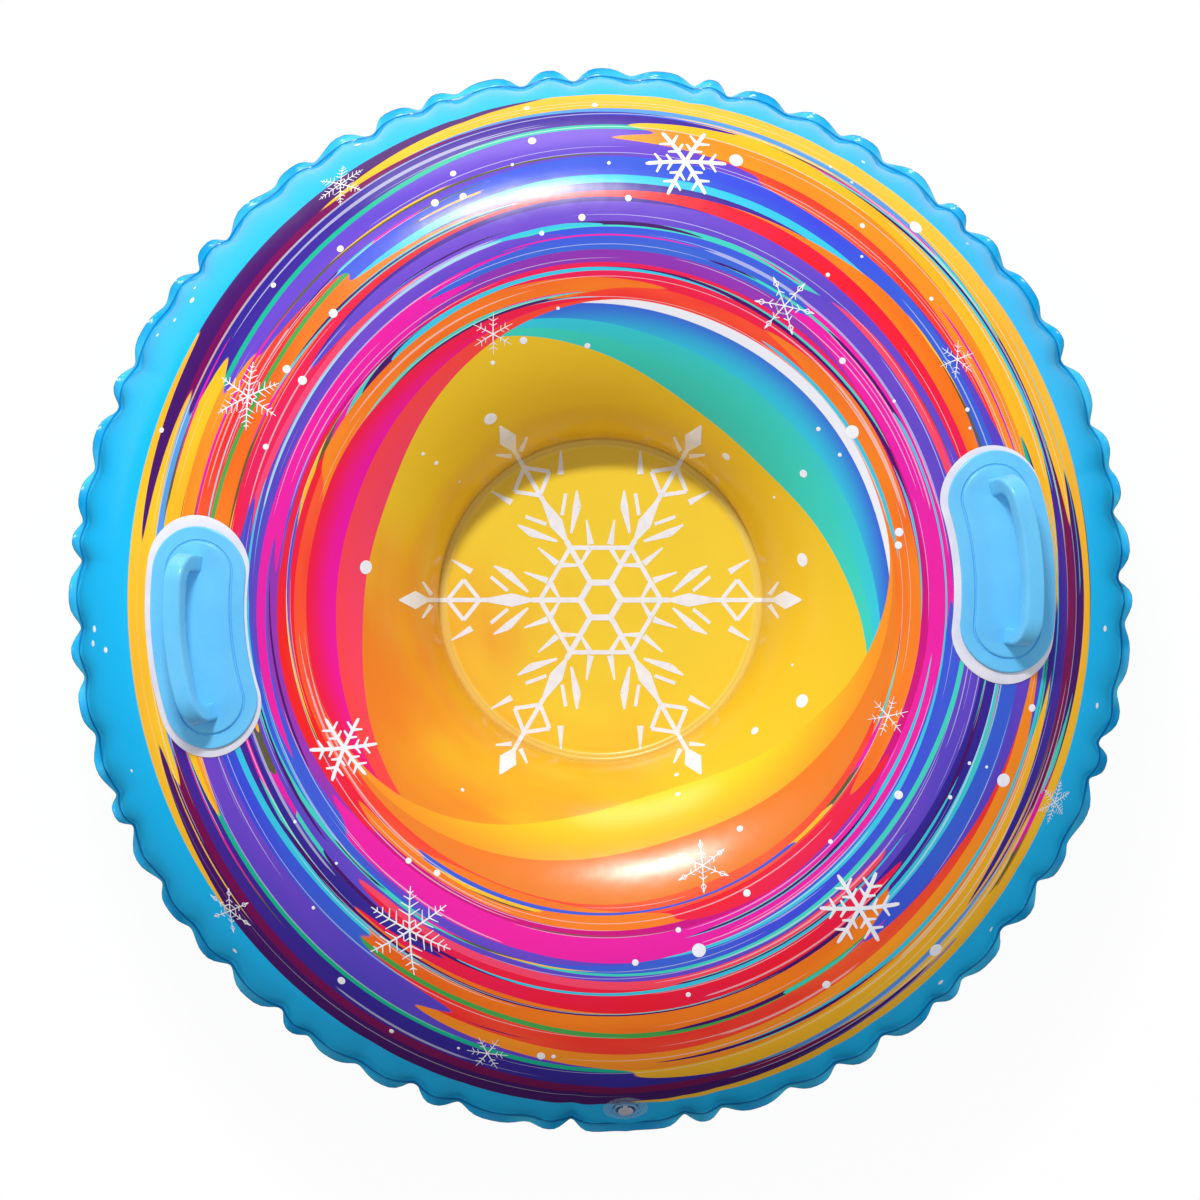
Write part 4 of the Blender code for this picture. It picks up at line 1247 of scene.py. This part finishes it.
# The moulded and plain finishes. The cloud is a noise that blends two tones, over the part of its range in
# blend. Rough is one value, or the range that a cloud spreads over. Alpha is a base, the cloud's share and
# what the edges add. Grain is the scale, strength and height of fine bumps, and relief those of the cloud.
plainLooks = {
    # Backing patches: off-white sheet with a faint pressed grain.
    "white_vinyl": {
        "cloud": (45, 4, 0.6), "blend": (0.3, 0.75), "tones": ((232, 230, 241), (218, 217, 232)),
        "rough": (0.36, 0.50), "grain": (1100, 0.25, 0.0001),
    },
    # Handles: soft moulded vinyl, satin, with a fine moulded grain, faint flow marks and a few scuffs.
    "handle_blue": {
        "cloud": (14, 3, 0.5), "blend": (0.3, 0.75), "tones": ((112, 203, 250), (98, 192, 246)),
        "specks": (420, 3, 0.7), "speckRange": (0.72, 0.82), "speckShare": 0.22, "speckTone": (60, 150, 214),
        "roughCloud": (30, 2, 0.5), "rough": (0.24, 0.32), "grain": (1400, 0.15, 0.00005),
        "relief": (0.10, 0.0008),
    },
    # Clear moulded vinyl: see-through, with denser edges and tiny bubbles.
    "clear_vinyl": {
        "cloud": (260, 3, 0.6), "tones": ((206, 222, 236), (232, 240, 248)), "alpha": (0.02, 0.10, 0.40),
        "rough": 0.14, "relief": (0.2, 0.0003), "coat": 0.5,
    },
    # The plug: milky vinyl, satin, nearly opaque in its middle.
    "milky_vinyl": {
        "cloud": (180, 3, 0.6), "tones": ((190, 184, 200), (220, 214, 224)), "alpha": (0.80, 0.20, 0.0),
        "rough": 0.34, "grain": (1500, 0.25, 0.0001),
    },
    # The valve's cup: clear vinyl too, thicker, with the blue light from inside the ring painted into its
    # colour.
    "painted_inner_light_vinyl": {
        "cloud": (220, 3, 0.6), "tones": ((98, 170, 224), (150, 200, 236)), "alpha": (0.84, 0.16, 0.0),
        "rough": 0.20, "relief": (0.2, 0.0003),
    },
    # The printed white: opaque ink that takes the film's gloss, thinner in places.
    "snow_ink": {
        "cloud": (120, 3, 0.6), "blend": (0.3, 0.75), "tones": ((246, 246, 251), (236, 237, 247)),
        "rough": 0.34, "film": (0.15, 0.05),
    },
}
grainNoise = (2, 0.6)
edgeView = {"blend": 0.35, "power": 2.5}


def plainFinish(name):
    look = plainLooks[name]
    material, tree, shader, place = newFinish(name)
    cloud = noiseOf(tree, place, *look["cloud"])
    blend = between(tree, cloud, *look["blend"]) if "blend" in look else cloud
    colour = mixColours(tree, blend, *[paint(*tone) for tone in look["tones"]])
    if "specks" in look:
        specks = between(tree, noiseOf(tree, place, *look["specks"]), *look["speckRange"])
        colour = mixColours(tree, times(tree, specks, look["speckShare"]), colour, paint(*look["speckTone"]))
    rough = look["rough"]
    if isinstance(rough, tuple):
        roughCloud = noiseOf(tree, place, *look["roughCloud"]) if "roughCloud" in look else cloud
        rough = spread(tree, roughCloud, *rough)
    normal = filmBump(tree, place, look["film"]) if "film" in look else None
    if "grain" in look:
        scale, strength, height = look["grain"]
        normal = bumpOf(tree, noiseOf(tree, place, scale, *grainNoise), strength, height)
    if "relief" in look:
        normal = bumpOf(tree, cloud, *look["relief"], normal)
    setInputs(tree, shader, {"Base Color": colour, "Roughness": rough, "Normal": normal})
    if "alpha" in look:
        base, share, atEdge = look["alpha"]
        alpha = plus(tree, base, times(tree, cloud, share), clamp=True)
        if atEdge:
            facing = addNode(tree, "ShaderNodeLayerWeight", {"Blend": edgeView["blend"]}).outputs["Facing"]
            dense = times(tree, maths(tree, "POWER", facing, edgeView["power"]), atEdge)
            alpha = plus(tree, alpha, dense, clamp=True)
        setInputs(tree, shader, {"Alpha": alpha})
    if "coat" in look:
        setInputs(tree, shader, {"Coat Weight": look["coat"]})
    return material


finishes = {"printed_vinyl": printedVinyl(), "blue_vinyl": blueVinyl()}
finishes.update((name, plainFinish(name)) for name in plainLooks)
print("finishes made:", len(finishes))


# Top sheet, with its hole for the valve's barrel.
def makeTopSheet():
    sheet = makeSheet("top_sheet", 1, finishes["printed_vinyl"])
    radius, deep = valve["holeRadius"], valve["holeDepth"]
    block = ((0, -deep), (radius, -deep), (radius, deep), (0, deep))
    hole = turnedPiece("valve_hole", block, None, rounding=1e-6)
    return combine(sheet, "DIFFERENCE", hole, sheetGrid["sharpDegrees"])


topSheet = makeTopSheet()
fit(topSheet, "tube", "top_skin")
bottomSheet = applyModifiers(makeSheet("bottom_sheet", -1, finishes["blue_vinyl"]), sheetGrid["sharpDegrees"])
fit(bottomSheet, "tube", "bottom_skin")
print("sheets made:", len(topSheet.data.polygons), "and", len(bottomSheet.data.polygons), "faces")

snowPrint = makeSnow(finishes["snow_ink"])
fit(snowPrint, "tube")
print("snow printed:", len(snowPrint.data.polygons), "faces")

for sideName in ("right", "left"):
    fit(makePatch(sideName, finishes["white_vinyl"]), "tube", f"{sideName}_handle_patch")
    fit(makeHandle(sideName, finishes["handle_blue"]), "tube", f"{sideName}_handle")
print("handles made")


def makeMoulding(name, profile, finish, rounding=valve["rounding"]):
    return turnedPiece(name, valve[profile], finishes[finish], rounding)


# The plug with its tether, which ends over the cup's bead where it bends.
def makePlug():
    plug = makeMoulding("valve_stopper", "plug", "milky_vinyl")
    return combine(plug, "UNION", strapPiece("stopper_tether", valve["tether"], finishes["milky_vinyl"]))


def makeFlap():
    flap = makeMoulding("inner_flap", "flap", "clear_vinyl", valve["flapRounding"])
    return combine(flap, "UNION", strapPiece("flap_tongue", valve["tongue"], finishes["clear_vinyl"]))


fit(makeMoulding("valve_collar", "flange", "clear_vinyl"), "tube", "valve_flange")
# The cup's finish has the light from inside the ring painted in.
fit(makeMoulding("valve_cup", "cup", "painted_inner_light_vinyl"), "stem", "valve_stem")
fit(makePlug(), "plug", "valve_plug")
fit(makeFlap(), "flap", "check_flap")
print("valve made")

# Studio: a pale floor, one soft key light from above the top of the picture, and even light all round.
studio = {
    "metresPerPixel": 0.0008647,
    "pixels": 1200,
    "centrePixel": (600.5, 600.0),
    "cameraHeight": 3.0,
    # name, degrees from straight up, degrees round to the left, distance, size, level, seen in the sheen
    "lamps": (
        ("key", 37, 12, 7.0, (1.50, 0.50), 0.54, True),
        ("back", 72, 12, 2.6, (1.6, 0.7), 0.080, True),
        ("left", 74, 96, 2.6, (1.6, 0.7), 0.058, False),
        ("right", 74, -96, 2.6, (1.6, 0.7), 0.058, False),
        ("overhead", 0, 0, 3.2, (2.4, 2.4), 0.15, False),
    ),
    "skyLevel": 0.23,
    "glossShare": 0.05,  # how much of the white background the vinyl's sheen picks up
    "floorSize": 6.0,
    "floorLow": -0.0004,
    "floorGlow": 0.955,
    "floorTones": (250, 253),
    "floorLight": (226, 226, 226),  # its grey as the object is lit by it
    # The painted reflection: the floor's greys and glow as the vinyl's sheen shows them, paler towards the
    # top of the picture.
    "floorSheen": (44, 248),  # its greys in the sheen, near and towards the top of the picture
    "sheenRise": (0.12, 0.52),
    "floorShine": 0.30,
    "floorGrain": (40, 2, 0.5),
    "floorRoughness": 0.9,
    "floorSpecular": 0.1,
}


# A lamp's power for the level it adds to a level white surface: level * pi^2 * distance^2 / cos(tilt).
def addLamp(name, tilt, turn, distance, size, level, inSheen):
    tilt, turn = math.radians(tilt), math.radians(turn)
    lamp = bpy.data.lights.new(name, "AREA")
    lamp.shape = "RECTANGLE"
    lamp.size, lamp.size_y = size
    lamp.energy = level * math.pi**2 * distance**2 / math.cos(tilt)
    lampObject = bpy.data.objects.new(name, lamp)
    bpy.context.scene.collection.objects.link(lampObject)
    lampObject.rotation_euler = (-tilt, 0, turn)
    aside = distance * math.sin(tilt)
    lampObject.location = (-aside * math.sin(turn), aside * math.cos(turn), distance * math.cos(tilt))
    lampObject.visible_glossy = inSheen


# Full where the camera sees the background itself, also through the clear pieces.
def seenStraight(tree, path):
    return maths(tree, "MAXIMUM", path["Is Camera Ray"], path["Is Transmission Ray"])


# A white floor for the camera. In the sheen it is a painted reflection: dark grey, and paler and glowing
# towards the top of the picture.
def makeFloor():
    material, tree, shader, place = newFinish("pale_floor")
    path = addNode(tree, "ShaderNodeLightPath").outputs
    grain = noiseOf(tree, place, *studio["floorGrain"])
    backwards = addNode(tree, "ShaderNodeSeparateXYZ", {0: place}).outputs["Y"]
    rise = between(tree, backwards, *studio["sheenRise"])
    pale, inSheen = (
        mixColours(tree, factor, *[paint(grey, grey, grey) for grey in studio[greys]])
        for factor, greys in ((grain, "floorTones"), (rise, "floorSheen"))
    )
    plain = mixColours(tree, path["Is Glossy Ray"], paint(*studio["floorLight"]), inSheen)
    setInputs(tree, shader, {
        "Base Color": mixColours(tree, path["Is Camera Ray"], plain, pale),
        "Roughness": studio["floorRoughness"],
        "Specular IOR Level": studio["floorSpecular"],
    })
    # Painted reflection: the floor glows in the sheen, more towards the top of the picture.
    shine = times(tree, path["Is Glossy Ray"], times(tree, rise, studio["floorShine"]))
    share = times(tree, maths(tree, "MAXIMUM", seenStraight(tree, path), shine), studio["floorGlow"])
    glow = addNode(tree, "ShaderNodeEmission", {"Color": colours["white"], "Strength": 1.0})
    mixed = addNode(tree, "ShaderNodeMixShader", {0: share, 1: shader.outputs[0], 2: glow.outputs[0]})
    setInputs(tree, tree.nodes["Material Output"], {"Surface": mixed.outputs[0]})
    half, low = studio["floorSize"], studio["floorLow"]
    points = np.array([[-half, -half, low], [half, -half, low], [half, half, low], [-half, half, low]])
    makePiece("floor", points, [np.array([[0, 1, 2, 3]])], material)


def makeSky():
    world = bpy.data.worlds.new("studio")
    bpy.context.scene.world = world
    world.use_nodes = True
    tree = world.node_tree
    path = addNode(tree, "ShaderNodeLightPath").outputs
    change = studio["glossShare"] - studio["skyLevel"]
    level = plus(tree, times(tree, path["Is Glossy Ray"], change), studio["skyLevel"])
    strength = maths(tree, "MAXIMUM", seenStraight(tree, path), level)
    setInputs(tree, tree.nodes["Background"], {"Color": colours["white"], "Strength": strength})


# The camera looks straight down, and its frame is as wide as the photograph's pixels come to.
def makeCamera():
    scale, half = studio["metresPerPixel"], studio["pixels"] / 2
    centreX, centreY = studio["centrePixel"]
    camera = bpy.data.cameras.new("camera")
    camera.type = "ORTHO"
    camera.ortho_scale = studio["pixels"] * scale
    cameraObject = bpy.data.objects.new("camera", camera)
    cameraObject.location = ((half - centreX) * scale, (centreY - half) * scale, studio["cameraHeight"])
    bpy.context.scene.collection.objects.link(cameraObject)
    bpy.context.scene.camera = cameraObject


makeFloor()
makeSky()
makeCamera()
for lampRow in studio["lamps"]:
    addLamp(*lampRow)
bpy.context.scene.view_settings.view_transform = "Standard"
print("studio ready")
